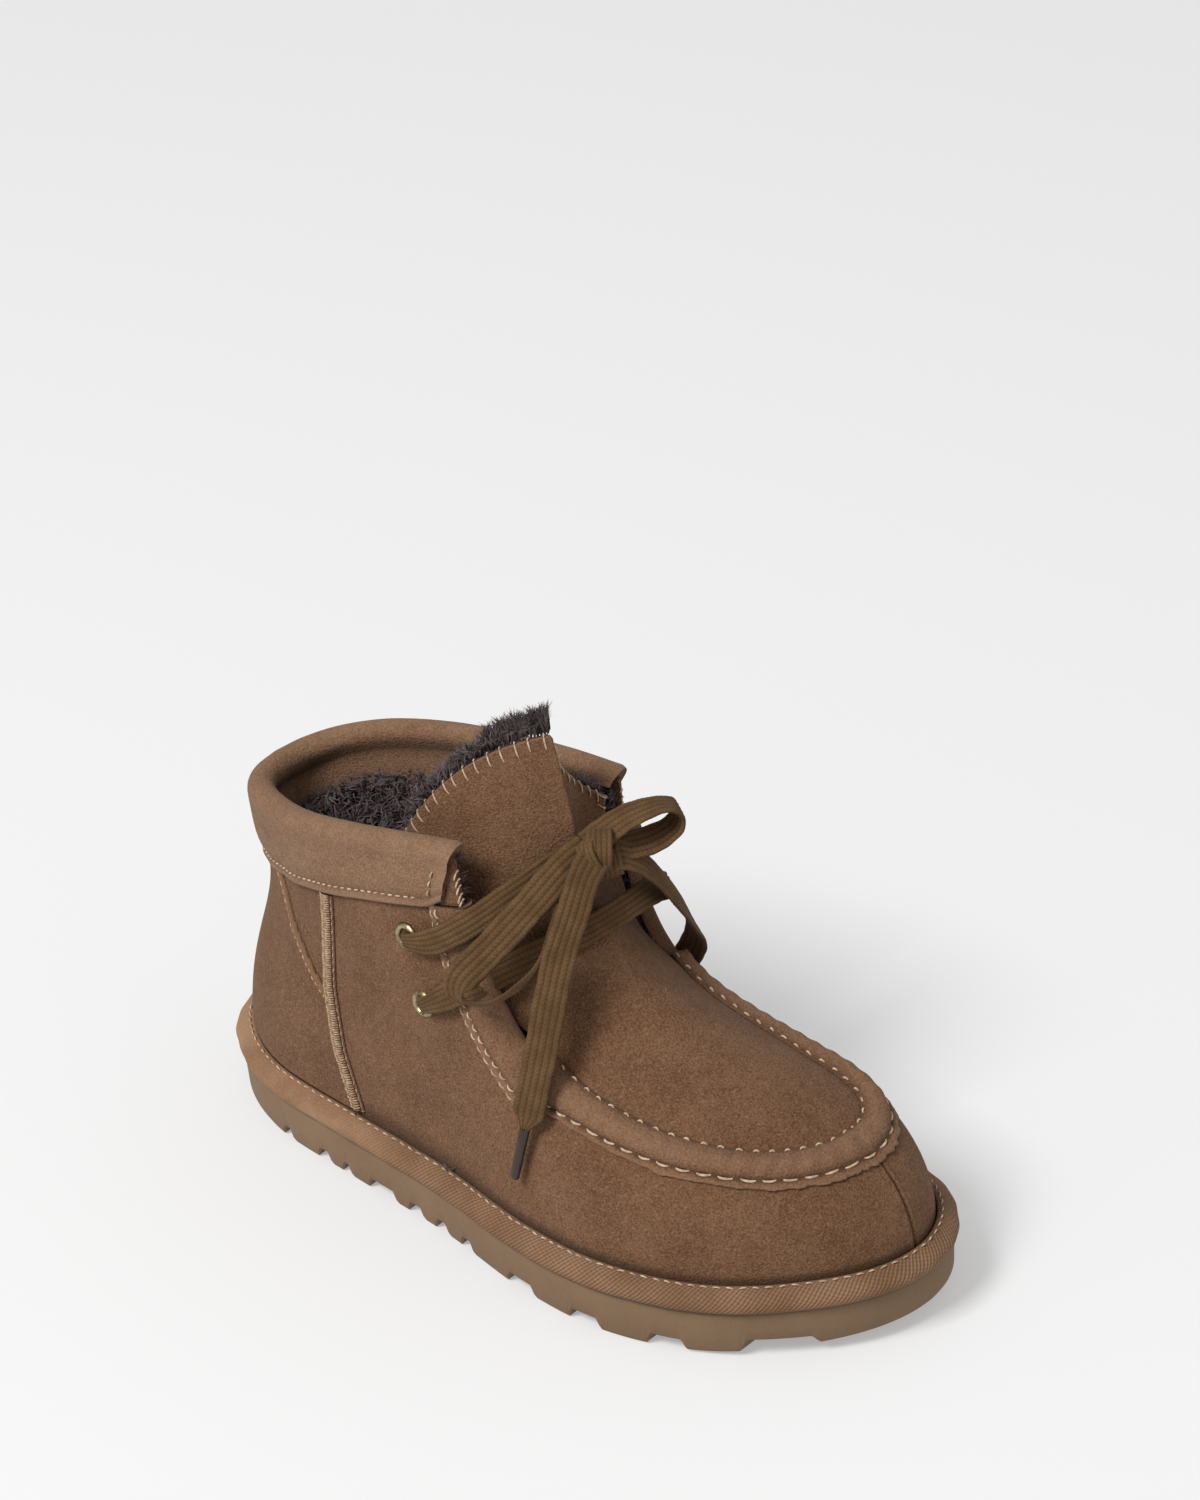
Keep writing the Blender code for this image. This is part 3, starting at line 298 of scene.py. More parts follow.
def lace(name, rows, narrow_start=0.0, narrow_end=0.0, width=LACE_WIDTH, stands_for=()):
    """Flat braid along rows of along, across, up and the direction its face looks in,
    gathered to a third of its width over narrow_start and narrow_end metres."""
    path, reach = smooth_rows(rows, LACE_STEP)
    centre = path[:, :3]
    tangent = unit(np.gradient(centre, axis=0))
    side = unit(np.cross(tangent, path[:, 3:6]))
    face = np.cross(side, tangent)
    left = reach[-1] - reach
    gather = np.ones(len(reach))
    if narrow_start:
        gather *= 0.36 + 0.64 * eased(reach / narrow_start)
    if narrow_end:
        gather *= 0.30 + 0.70 * eased(left / narrow_end)
    across = np.linspace(-1, 1, LACE_RIBS * RIB_COLUMNS + 1)
    rib = (across + 1) / 2 * LACE_RIBS
    within = 2 * (rib - np.floor(np.minimum(rib, LACE_RIBS - 1e-6))) - 1
    dome = 1 - within ** 2
    phase = reach[:, None] / CHEVRON_PITCH + CHEVRON_SLANT * np.abs(within)[None, :]
    knit = 0.5 + 0.5 * np.cos(2 * np.pi * phase)
    edge = np.sqrt(np.maximum(0, 1 - np.abs(across) ** 7))
    lift = RIB_HEIGHT * dome * (0.35 + 0.65 * knit)
    plump = 0.8 + 0.5 * (1 / gather[:, None] - 1).clip(0, 1.2)
    half = (LACE_THICKNESS / 2 - 0.00035) * edge[None, :] * plump
    wobble = 1 + 0.02 * np.sin(reach * 410) + 0.015 * np.sin(reach * 1130 + 2)
    spread = (across[None, :] * (width / 2 * gather * wobble)[:, None])[..., None] * side[:, None, :]
    height = (half + lift * edge)[..., None] * face[:, None, :]
    top, under = centre[:, None, :] + spread + height, centre[:, None, :] + spread - height
    ring = np.concatenate([top, under[:, ::-1][:, 1:-1]], axis=1)
    # How much painted shade each point gets, deepest between the ribs and chevrons.
    groove = np.clip(1 - dome[None, :] ** 0.6 * (0.25 + 0.75 * knit) * 1.3, 0, 1) * 0.75
    groove = np.concatenate([groove, groove[:, ::-1][:, 1:-1]], axis=1)
    made = piece(name, ring.reshape(-1, 3), tube_faces(*ring.shape[:2]), lace_braid,
                 stands_for, shades={"groove": groove.reshape(-1)})
    return made, [tuple(place(p)) for p in centre], float(reach[-1])


def free_lace(name, rows, node, far_end, with_pieces=(), **gathers):
    """A free length of the lace."""
    made, path, length = lace(name, rows, stands_for=(node,), **gathers)
    return made


LOOP_LATERAL = [
    (0.1560, -0.0010, 0.1310, 0.7, -0.5, 0.5),
    (0.1545, -0.0100, 0.1285, 0.6, -0.6, 0.5),
    (0.1515, -0.0225, 0.1205, 0.6, -0.7, 0.4),
    (0.1462, -0.0362, 0.1100, 0.5, -0.8, 0.3),
    (0.1420, -0.0452, 0.1025, 0.2, -1.0, -0.2),
    (0.1442, -0.0475, 0.0975, 0.5, -0.5, -0.8),
    (0.1512, -0.0430, 0.0965, 0.3, -0.5, -0.9),
    (0.1565, -0.0340, 0.1005, 0.4, -0.6, -0.8),
    (0.1583, -0.0235, 0.1065, 0.6, -0.5, -0.6),
    (0.1580, -0.0120, 0.1170, 0.8, -0.4, 0.0),
    (0.1570, -0.0020, 0.1270, 0.8, -0.4, 0.2),
]
LOOP_MEDIAL = [
    (0.1545, 0.0010, 0.1308, 0.3, -0.3, 0.9),
    (0.1580, 0.0110, 0.1352, 0.2, -0.3, 0.9),
    (0.1612, 0.0180, 0.1370, 0.0, -0.3, 0.9),
    (0.1642, 0.0250, 0.1368, 0.1, 0.2, 1.0),
    (0.1662, 0.0295, 0.1335, 0.5, 0.8, 0.0),
    (0.1655, 0.0280, 0.1285, 0.1, 0.5, -0.8),
    (0.1630, 0.0215, 0.1262, -0.2, 0.5, -0.8),
    (0.1605, 0.0135, 0.1268, -0.2, 0.5, -0.8),
    (0.1560, 0.0020, 0.1296, -0.1, 0.4, -0.8),
]
END_LATERAL = [
    (0.1595, -0.0010, 0.1300, 0.7, -0.5, 0.5),
    (0.1612, -0.0085, 0.1265, 0.7, -0.5, 0.4),
    (0.1630, -0.0160, 0.1190, 0.8, -0.5, 0.3),
    (0.1640, -0.0240, 0.1090, 0.7, -0.6, 0.3),
    (0.1650, -0.0310, 0.0965, 0.6, -0.7, 0.3),
    (0.1655, -0.0370, 0.0825, 0.5, -0.8, 0.3),
    (0.1650, -0.0425, 0.0680, 0.4, -0.9, 0.3),
    (0.1635, -0.0455, 0.0565, 0.3, -1.0, 0.2),
]
END_MEDIAL = [
    (0.1590, 0.0030, 0.1280, 0.8, -0.1, 0.6),
    (0.1622, 0.0090, 0.1262, 0.7, 0.1, 0.7),
    (0.1645, 0.0165, 0.1185, 0.7, 0.6, 0.35),
    (0.1655, 0.0245, 0.1060, 0.62, 0.72, 0.2),
    (0.1635, 0.0335, 0.0915, 0.5, 0.85, 0.2),
    (0.1590, 0.0405, 0.0785, 0.2, 1.0, 0.2),
    (0.1520, 0.0415, 0.0650, 0.1, 1.0, 0.1),
    (0.1500, 0.0430, 0.0520, 0.0, 1.0, 0.1),
]
AGLET_DIAMETER = 0.0034
AGLET_LENGTH = 0.0170
AGLET_RINGS = ((-0.05, 0.92), (-0.03, 1.0), (0.3, 0.97), (0.6, 0.95), (0.93, 0.88), (0.98, 0.7), (1, 0.3))
AGLET_SIDES, LAP_SIDE, FILM_LAP = 20, 3, 1.10

aglet_film = Finish("aglet_film", (0.030, 0.016, 0.009), 0.30, specular=0.5)
aglet_film.rough(aglet_film.noise(0.002) * 0.3 + 0.2)
aglet_film.bump(aglet_film.noise(0.0012, stretch=(1, 1, 0.2)), 0.0002)


def aglet(name, rows, node):
    """Film wound tight round the end of the lace, its edge lapped along one side."""
    end, before = np.array(rows[-1][:3]), np.array(rows[-2][:3])
    run = unit(end - before)
    side = unit(np.cross(run, rows[-1][3:6]))
    face = np.cross(side, run)
    points = []
    for share, size in AGLET_RINGS:
        for k in range(AGLET_SIDES):
            angle = 2 * math.pi * k / AGLET_SIDES
            lap = FILM_LAP if k == LAP_SIDE else 1.0
            radius = AGLET_DIAMETER / 2 * size * lap
            points.append(end + run * (AGLET_LENGTH * share + 0.0003)
                          + (side * math.cos(angle) + face * math.sin(angle) * 0.85) * radius)
    return piece(name, points, tube_faces(len(AGLET_RINGS), AGLET_SIDES), aglet_film,
                 (node,))


tip_lateral = aglet("aglet_tip_lateral", END_LATERAL, "aglet_lateral")
tip_medial = aglet("aglet_tip_medial", END_MEDIAL, "aglet_medial")
free_lace("bow_loop_outer", LOOP_LATERAL, "bow_loop_lateral", "object")
free_lace("bow_loop_inner", LOOP_MEDIAL, "bow_loop_medial", "object")
TIP_GATHER = 0.006
free_lace("lace_tail_outer", END_LATERAL, "lace_end_lateral", "fitting", (tip_lateral,),
          narrow_end=TIP_GATHER)
free_lace("lace_tail_inner", END_MEDIAL, "lace_end_medial", "fitting", (tip_medial,),
          narrow_end=TIP_GATHER)

# The laced part. The lace's lower crossing lies over the tongue between the two lower
# eyelets, and a run comes up from each upper eyelet to the knot. All of it is pulled
# through the eyelets, where it gathers to the bore.
LOWER_CROSSING = [
    (0.1160, -0.0335, 0.0793, -0.055, -0.996, 0.065),
    (0.1168, -0.0388, 0.0797, 0.0, -1.0, 0.1),
    (0.1220, -0.0402, 0.0832, 0.0, -0.9, 0.4),
    (0.1300, -0.0392, 0.0888, 0.1, -0.9, 0.4),
    (0.1370, -0.0362, 0.0932, 0.4, -0.8, 0.4),
    (0.1437, -0.0272, 0.0970, 0.6, -0.7, 0.4),
    (0.1508, -0.0165, 0.1012, 0.7, -0.6, 0.4),
    (0.1578, -0.0060, 0.1052, 0.8, -0.4, 0.4),
    (0.1625, 0.0040, 0.1085, 0.9, 0.1, 0.4),
    (0.1603, 0.0200, 0.1065, 0.7, 0.5, 0.4),
    (0.1543, 0.0355, 0.0990, 0.5, 0.8, 0.3),
    (0.1390, 0.0405, 0.0890, 0.1, 1.0, 0.2),
    (0.1250, 0.0370, 0.0825, 0.0, 1.0, 0.1),
    (0.1172, 0.0330, 0.0797, 0.0, 1.0, 0.0),
    (0.1162, 0.0280, 0.0793, 0.0, 1.0, 0.0),
]
UPPER_RUN_LATERAL = [
    (0.1100, -0.0315, 0.1008, -0.014, -0.998, 0.068),
    (0.1108, -0.0372, 0.1010, 0.0, -1.0, 0.1),
    (0.1160, -0.0392, 0.1028, 0.1, -1.0, 0.2),
    (0.1250, -0.0385, 0.1062, 0.1, -1.0, 0.2),
    (0.1360, -0.0350, 0.1140, 0.4, -0.8, 0.3),
    (0.1440, -0.0240, 0.1212, 0.6, -0.6, 0.5),
    (0.1500, -0.0120, 0.1272, 0.8, -0.4, 0.4),
    (0.1545, -0.0020, 0.1305, 0.8, -0.3, 0.4),
]
UPPER_RUN_MEDIAL = [
    (0.1103, 0.0285, 0.1012, 0.04, 0.996, -0.08),
    (0.1110, 0.0342, 0.1010, 0.0, 1.0, 0.0),
    (0.1160, 0.0385, 0.1025, 0.0, 1.0, 0.1),
    (0.1270, 0.0412, 0.1060, 0.1, 1.0, 0.2),
    (0.1390, 0.0398, 0.1110, 0.4, 0.8, 0.3),
    (0.1490, 0.0290, 0.1180, 0.6, 0.6, 0.5),
    (0.1545, 0.0160, 0.1240, 0.8, 0.4, 0.4),
    (0.1565, 0.0050, 0.1285, 0.8, 0.2, 0.4),
]
KNOT_CENTRE = np.array((0.1575, 0.0020, 0.1300))
KNOT_WIDTH = 0.0080
RUN_WIDTH = 0.0088
TURN_ROWS = 15
TURN_DRIFT = 0.0010

lace("lace_crossing", LOWER_CROSSING, narrow_start=0.022, narrow_end=0.012, width=RUN_WIDTH,
     stands_for=("lace_lower_bar",))
lace("lace_run_outer", UPPER_RUN_LATERAL, narrow_start=0.024, width=RUN_WIDTH,
     stands_for=("lace_upper_run_lateral",))
lace("lace_run_inner", UPPER_RUN_MEDIAL, narrow_start=0.018, width=RUN_WIDTH,
     stands_for=("lace_upper_run_medial",))


def knot_turn(name, shift, axis, front, depth, height, width, first, last, stands_for=()):
    """One turn of the lace round the bow, from one angle to another in degrees."""
    centre = KNOT_CENTRE + np.array(shift)
    axis, front = unit(np.array(axis)), np.array(front, float)
    front = unit(front - axis * front.dot(axis))
    up = np.cross(axis, front)
    if up[2] < 0:
        up = -up
    rows = []
    for degrees in np.linspace(first, last, TURN_ROWS):
        angle = math.radians(degrees)
        out = front * math.cos(angle) * depth + up * math.sin(angle) * height
        look = front * math.cos(angle) / depth + up * math.sin(angle) / height
        drift = axis * TURN_DRIFT * (degrees - first) / (last - first)
        rows.append((*(centre + out + drift), *unit(look)))
    return lace(name, rows, width=width, stands_for=stands_for)


knot_turn("bow_knot", (0, 0, 0), axis=(0.72, 0.69, -0.05), front=(0.6, -0.6, 0.5), depth=0.0046,
          height=0.0058, width=KNOT_WIDTH, first=-200, last=150, stands_for=("lace_knot",))
knot_turn("bow_knot_tuck", (-0.0005, -0.0030, -0.0015), axis=(0.75, 0.40, 0.45), front=(0.6, -0.6, 0.3),
          depth=0.0036, height=0.0050, width=0.0075, first=-150, last=160)
knot_turn("bow_knot_under", (0.0016, 0.0018, -0.0048), axis=(0.45, 0.75, 0.1), front=(0.7, -0.5, 0.4),
          depth=0.0034, height=0.0044, width=KNOT_WIDTH, first=-160, last=150)

# The upper. Brown suede with the fleece on its back, cut as one wall round the foot and
# one apron over it, lasted and stitched down to the rand. It has the soft troughs and
# ridges of suede that has been pulled on and off.
LENGTH = 0.272
HALF_BALL = 0.1034 / 2
COLLAR_HEIGHT = 0.1350
OUTSOLE_THICKNESS = 0.0158
TOE_SPRING = 0.0056
TOP_SPRING = 0.0016
SPRING_START = 0.72
RAND_HEIGHT = 0.0080
RAND_INSET = 0.0048
GAP = 0.0003
WALL = 0.0030
FEATHER_INSET = RAND_INSET + GAP
FOOT_LEVEL = OUTSOLE_THICKNESS + GAP
FEATHER_LEVEL = FOOT_LEVEL + RAND_HEIGHT
CORNER_STATION = 0.430
THROAT_STATION = 0.548
RING_STEP = 0.004
SKIN_THICKNESS = 0.0014
OUTLINE_ROWS = [
    (0.00, 0.03, 0.000), (0.04, 0.02, 0.445), (0.14, -0.03, 0.687), (0.29, -0.09, 0.725),
    (0.45, -0.10, 0.793), (0.60, -0.08, 0.948), (0.72, -0.03, 1.000), (0.85, 0.07, 0.884),
    (0.95, 0.19, 0.561), (1.00, 0.23, 0.000),
]
LATERAL_COLLAR = [
    (0.000, 0.063, 0.060, 0.824), (0.015, 0.071, -0.140, 0.826), (0.050, 0.096, -0.300, 0.833),
    (0.100, 0.142, -0.430, 0.850), (0.180, 0.222, -0.575, 0.888), (0.275, 0.312, -0.630, 0.930),
    (0.355, 0.397, -0.630, 0.968), (0.430, 0.478, -0.610, 1.000),
]
MEDIAL_COLLAR = [
    (0.000, 0.063, 0.060, 0.824), (0.015, 0.071, 0.270, 0.828), (0.050, 0.098, 0.465, 0.842),
    (0.100, 0.150, 0.615, 0.866), (0.180, 0.237, 0.695, 0.902), (0.275, 0.331, 0.706, 0.935),
    (0.355, 0.423, 0.690, 0.965), (0.430, 0.510, 0.658, 0.988),
]
LATERAL_FRONT = [
    (0.430, 0.478, -0.610, 1.000), (0.448, 0.489, -0.625, 0.874), (0.470, 0.504, -0.631, 0.763),
    (0.493, 0.524, -0.635, 0.667), (0.518, 0.550, -0.635, 0.585), (0.548, 0.582, -0.635, 0.524),
    (0.600, 0.624, -0.640, 0.474), (0.670, 0.684, -0.629, 0.441), (0.750, 0.761, -0.561, 0.419),
    (0.830, 0.827, -0.406, 0.404), (0.900, 0.871, -0.213, 0.394), (0.960, 0.899, 0.019, 0.391),
    (1.000, 0.908, 0.251, 0.389),
]
MEDIAL_FRONT = [
    (0.430, 0.510, 0.658, 0.988), (0.448, 0.506, 0.677, 0.867), (0.470, 0.511, 0.683, 0.759),
    (0.493, 0.528, 0.677, 0.667), (0.518, 0.552, 0.658, 0.596), (0.548, 0.583, 0.638, 0.544),
    (0.600, 0.625, 0.629, 0.500), (0.670, 0.684, 0.629, 0.470), (0.750, 0.761, 0.638, 0.444),
    (0.830, 0.827, 0.638, 0.424), (0.900, 0.871, 0.580, 0.408), (0.960, 0.899, 0.435, 0.396),
    (1.000, 0.908, 0.251, 0.389),
]
WALL_ROWS = [
    (0.00, 0.10, 0.140), (0.15, 0.20, 0.090), (0.30, 0.35, 0.000), (0.45, 0.50, 0.000),
    (0.60, 0.75, 0.000), (0.80, 0.85, 0.000), (1.00, 0.85, 0.000),
]
CROWN_ROWS = [
    (0.548, 0.172, 0.022, 1.60), (0.600, 0.166, 0.010, 1.65), (0.670, 0.139, 0.004, 1.70),
    (0.750, 0.100, 0.001, 1.80), (0.830, 0.061, 0.000, 1.90), (0.900, 0.034, 0.000, 2.00),
    (0.960, 0.012, 0.000, 2.00), (1.000, 0.000, 0.000, 2.00),
]
SUEDE_DARK = (0.072, 0.033, 0.015)
SUEDE = (0.146, 0.071, 0.036)
SUEDE_LIGHT = (0.245, 0.137, 0.078)
TRIM_DARK = (0.115, 0.058, 0.029)
TRIM = (0.208, 0.114, 0.064)
TRIM_LIGHT = (0.310, 0.192, 0.118)
ROLL_DARK, ROLL, ROLL_LIGHT = (0.095, 0.045, 0.022), (0.178, 0.090, 0.049), (0.275, 0.160, 0.096)


def turn_at(station):
    """Angle share round the outline, 0 at the heel and 1 at the toe."""
    return math.acos(1 - 2 * station) / math.pi


def station_at(turn):
    return (1 - np.cos(np.pi * np.asarray(turn))) / 2


def read(rows, column, turn):
    """A table's column on a smooth curve through its rows."""
    keys = [turn_at(row[0]) for row in rows]
    values = [row[column] for row in rows]
    last = len(keys) - 1
    if turn <= keys[0]:
        return values[0]
    if turn >= keys[last]:
        return values[last]
    k = max(i for i in range(last) if keys[i] <= turn)

    def slope(i):
        low, high = max(i - 1, 0), min(i + 1, last)
        return (values[high] - values[low]) / (keys[high] - keys[low])

    span = keys[k + 1] - keys[k]
    t = (turn - keys[k]) / span
    return (values[k] * (1 + 2 * t) * (1 - t) ** 2 + values[k + 1] * t * t * (3 - 2 * t)
            + span * t * (1 - t) * (slope(k) * (1 - t) - slope(k + 1) * t))


def spring(station, rise):
    """How far the toe lifts at a station."""
    share = np.maximum(0.0, (np.asarray(station) - SPRING_START) / (1 - SPRING_START))
    return rise * share ** 2


def plain_outline(ring):
    """Outline point at a ring place: -1 to 0 on the outer side, 0 to 1 on the inner one,
    counted from the toe to the heel and back to the toe."""
    ring = (ring + 1) % 2 - 1
    side, turn = (-1 if ring < 0 else 1), abs(ring)
    return np.array((LENGTH * station_at(turn),
                     (read(OUTLINE_ROWS, 1, turn) + side * read(OUTLINE_ROWS, 2, turn)) * HALF_BALL))


def outline(ring, outset):
    """Outline point at a ring place, moved out by outset."""
    tangent = unit(plain_outline(ring + RING_STEP) - plain_outline(ring - RING_STEP))
    return plain_outline(ring) + np.array((-tangent[1], tangent[0])) * outset


def top_line(ring):
    """Point of the upper's top line: the collar, the facing and then the apron's seam."""
    side, turn = (-1 if ring < 0 else 1), min(abs(ring), 1.0)
    collar, front = (LATERAL_COLLAR, LATERAL_FRONT) if side < 0 else (MEDIAL_COLLAR, MEDIAL_FRONT)
    rows = collar if turn <= turn_at(collar[-1][0]) else front
    return np.array((read(rows, 1, turn) * LENGTH, read(rows, 2, turn) * HALF_BALL,
                     read(rows, 3, turn) * COLLAR_HEIGHT))


def feather(ring):
    """Point where the wall meets the rand."""
    edge = outline(ring, -FEATHER_INSET)
    return np.array((*edge, FEATHER_LEVEL + float(spring(station_at(abs(ring)), TOP_SPRING))))


CORNER, THROAT = turn_at(CORNER_STATION), turn_at(THROAT_STATION)
RING = np.linspace(-1, 1, 561)
LEVELS = np.linspace(0, 1, 73)


def wall_column(ring):
    """Points of the wall from the rand to the top line at one ring place."""
    low, high, turn = feather(ring), top_line(ring), abs(ring)
    full, waist = read(WALL_ROWS, 1, turn), read(WALL_ROWS, 2, turn) * HALF_BALL
    inward = (1 - full) * LEVELS + full * (1 - np.cos(np.pi / 2 * LEVELS))
    rise = (1 - full) * LEVELS + full * np.sin(np.pi / 2 * LEVELS)
    points = low + (high - low) * inward[:, None]
    points[:, 2] = low[2] + (high[2] - low[2]) * rise
    draw = outline(ring, -1.0) - outline(ring, 0.0)
    points[:, :2] += draw * (waist * np.sin(np.pi * LEVELS ** 1.35) ** 2)[:, None]
    return points


def crease(points, normals, ends, width, depth):
    """A soft trough (or a ridge, with a negative depth) along a short curve of points."""
    line, _ = smooth_rows([(*end, 0) for end in ends], 0.0012)
    line = line[:, :3]
    flat = points.reshape(-1, 3)
    gap = np.linalg.norm(flat[:, None, :] - line[None, :, :], axis=2)
    nearest = gap.argmin(axis=1)
    share = nearest / (len(line) - 1)
    fade = np.sin(np.pi * np.clip(0.04 + 0.92 * share, 0, 1)) ** 0.7
    amount = depth * fade * np.exp(-(gap.min(axis=1) / width) ** 2)
    return points - normals * amount.reshape(points.shape[:-1])[..., None]


wall_points = np.array([wall_column(ring) for ring in RING])
wall_across = np.gradient(wall_points, axis=0)
wall_across[[0, -1]] = wall_points[1] - wall_points[-2]
wall_upward = unit(np.gradient(wall_points, axis=1))
wall_normals = unit(np.cross(wall_upward, wall_across))


def on_wall(ring, level, offset=0.0):
    """Point of the wall's outer face at a ring place and level, moved out by offset."""
    i = np.clip((ring + 1) / 2, 0, 1) * (len(RING) - 1)
    j = np.clip(level, 0, 1) * (len(LEVELS) - 1)
    i0, j0 = min(int(i), len(RING) - 2), min(int(j), len(LEVELS) - 2)
    a, b = i - i0, j - j0
    result = []
    for grid in (wall_points, wall_normals):
        result.append(grid[i0, j0] * (1 - a) * (1 - b) + grid[i0 + 1, j0] * a * (1 - b)
                      + grid[i0, j0 + 1] * (1 - a) * b + grid[i0 + 1, j0 + 1] * a * b)
    normal = unit(result[1])
    return result[0] + normal * offset, normal


def wall_height(ring):
    """Straight distance from the rand to the top line."""
    return np.linalg.norm(on_wall(ring, 1.0)[0] - on_wall(ring, 0.0)[0])


def wall_spot(side, along, up):
    """Ring place and level of the wall's point at a place along and up."""
    columns = [k for k in range(len(RING)) if RING[k] * side > 0.02 and abs(RING[k]) < turn_at(0.62)]
    if side < 0:
        columns = columns[::-1]
    turns = [abs(RING[k]) for k in columns]
    levels = [np.interp(up, wall_points[k, :, 2], LEVELS) for k in columns]
    xs = [np.interp(up, wall_points[k, :, 2], wall_points[k, :, 0]) for k in columns]
    turn = np.interp(along, np.maximum.accumulate(xs), turns)
    return side * turn, np.interp(turn, turns, levels)


APRON_TURNS = np.linspace(THROAT, 1.0, 150)
APRON_SHARES = np.linspace(0, 1, 81)


def apron_row(turn):
    outer, inner = top_line(-turn), top_line(turn)
    crown = 1 - np.abs(2 * APRON_SHARES - 1) ** read(CROWN_ROWS, 3, turn)
    row = outer + (inner - outer) * APRON_SHARES[:, None]
    row[:, 2] += read(CROWN_ROWS, 1, turn) * COLLAR_HEIGHT * crown
    row[:, 0] += read(CROWN_ROWS, 2, turn) * LENGTH * crown
    return row


apron_points = np.array([apron_row(turn) for turn in APRON_TURNS])
apron_normals = unit(np.cross(np.gradient(apron_points, axis=0), np.gradient(apron_points, axis=1)))
apron_normals[-1] = apron_normals[-3]


def on_apron(along, across, offset=0.0):
    """Point of the apron's outer face above a place along and across."""
    share = 0.5
    for _ in range(4):
        column = min(int(share * (len(APRON_SHARES) - 1) + 0.5), len(APRON_SHARES) - 1)
        xs = np.maximum.accumulate(apron_points[:, column, 0])
        i = np.interp(along, xs, np.arange(len(APRON_TURNS)))
        row = int(min(i, len(APRON_TURNS) - 2))
        part = i - row
        line = apron_points[row] * (1 - part) + apron_points[row + 1] * part
        share = float(np.interp(across, line[:, 1], APRON_SHARES))
    z = float(np.interp(across, line[:, 1], line[:, 2]))
    normal = apron_normals[row, column]
    return np.array((along, across, z)) + normal * offset, normal


STRAY_FIBRE = (0.38, 0.24, 0.145)


def suede(name, dark, middle, light):
    """Napped suede: cloudy where the nap lies another way, mottled, with stray pale fibres; paler on worn raw
    edges, with painted highlight on crests and painted shade in folds and grooves.
    """
    made = Finish(name, middle, 0.95, sheen=0.05, specular=0.08)
    cloud = made.noise(0.022, 3.0)
    mottle = made.noise(0.0032, 3.0)
    nap = made.noise(0.0007, 2.0)
    fibre = made.noise(0.00045, 1.0, stretch=(1, 0.35, 1))
    tone = made.mix((cloud * 0.55 + mottle * 0.45).above(0.33, 0.67), dark, light)
    tone = made.mix(0.62, tone, middle)
    tone = made.mix(nap.above(0.50, 0.66) * 0.38, tone, light)
    tone = made.mix((0.48 - nap).above(0.0, 0.12) * 0.48, tone, dark)
    tone = made.mix(fibre.above(0.62, 0.70) * 0.32, tone, STRAY_FIBRE)
    # Paler on worn raw edges and with painted highlight on crests; darker with painted shade in folds,
    # grooves and under overhangs.
    tone = made.mix(made.shade("wear_and_highlight"), tone, light)
    made.colour(made.mix(made.shade("painted_shade"), tone, tuple(c * 0.45 for c in dark)))
    made.bump(nap * 0.8 + mottle * 0.4 + fibre * 0.6, 0.00060)
    return made


upper_suede = suede("upper_suede", SUEDE_DARK, SUEDE, SUEDE_LIGHT)
trim_suede = suede("trim_suede", TRIM_DARK, TRIM, TRIM_LIGHT)
roll_suede = suede("roll_suede", ROLL_DARK, ROLL, ROLL_LIGHT)

CREASES = [
    ([(0.150, -0.047, 0.045), (0.165, -0.047, 0.055), (0.180, -0.043, 0.058)], 0.0040, 0.0009),
    ([(0.185, -0.046, 0.050), (0.205, -0.042, 0.053), (0.222, -0.036, 0.050)], 0.0050, -0.0006),
    ([(0.095, -0.040, 0.055), (0.112, -0.040, 0.060), (0.128, -0.041, 0.058)], 0.0055, 0.0009),
    ([(0.090, -0.038, 0.035), (0.110, -0.041, 0.040), (0.130, -0.044, 0.038)], 0.0060, 0.0006),
    ([(0.100, -0.036, 0.090), (0.112, -0.037, 0.086), (0.124, -0.037, 0.070)], 0.0050, -0.0006),
    ([(0.095, 0.038, 0.055), (0.112, 0.038, 0.060), (0.128, 0.038, 0.058)], 0.0055, 0.0009),
]
THROAT_TUCK = 0.0009
TUCK_ROWS = 5
TOE_SEAM_LIFTS = (-0.0010, 0.0001, 0.0004, 0.0003)
APRON_CREASES = [
    ([(0.168, -0.020, 0.080), (0.176, -0.006, 0.088), (0.182, 0.010, 0.087)], 0.0075, 0.0009),
    ([(0.186, -0.024, 0.072), (0.194, -0.010, 0.078), (0.200, 0.008, 0.077)], 0.0080, 0.0008),
    ([(0.176, -0.022, 0.078), (0.184, -0.008, 0.084), (0.190, 0.008, 0.083)], 0.0070, -0.0006),
    ([(0.205, -0.020, 0.066), (0.213, -0.002, 0.070), (0.220, 0.014, 0.066)], 0.0060, 0.0005),
]


def two_sided(faces, shift):
    """Faces of a sheet's front, and of its back, whose points come shift places later."""
    return faces + [tuple(shift + k for k in face[::-1]) for face in faces]


skin = wall_points.copy()
for ends, width, depth in CREASES:
    skin = crease(skin, wall_normals, ends, width, depth)
toe_fold = np.zeros(len(RING))
for step, lift in enumerate(TOE_SEAM_LIFTS):
    toe_fold[[step, -1 - step]] = lift
skin = (skin + wall_normals * toe_fold[:, None, None])[:-1]
foot = skin[:, 0] - np.array((0, 0, RAND_HEIGHT * 0.6))
skin = np.concatenate([foot[:, None, :], skin], axis=1)
inner = skin - np.concatenate([wall_normals[:-1, :1], wall_normals[:-1]], axis=1) * SKIN_THICKNESS
ring_count, level_count = skin.shape[:2]
shift = ring_count * level_count
sheet_faces = two_sided(grid_faces(ring_count, level_count, closed_rows=True), shift)
for i in range(ring_count):
    a, b = (i + 1) * level_count - 1, (i + 1) % ring_count * level_count + level_count - 1
    sheet_faces.append((a, b, shift + b, shift + a))
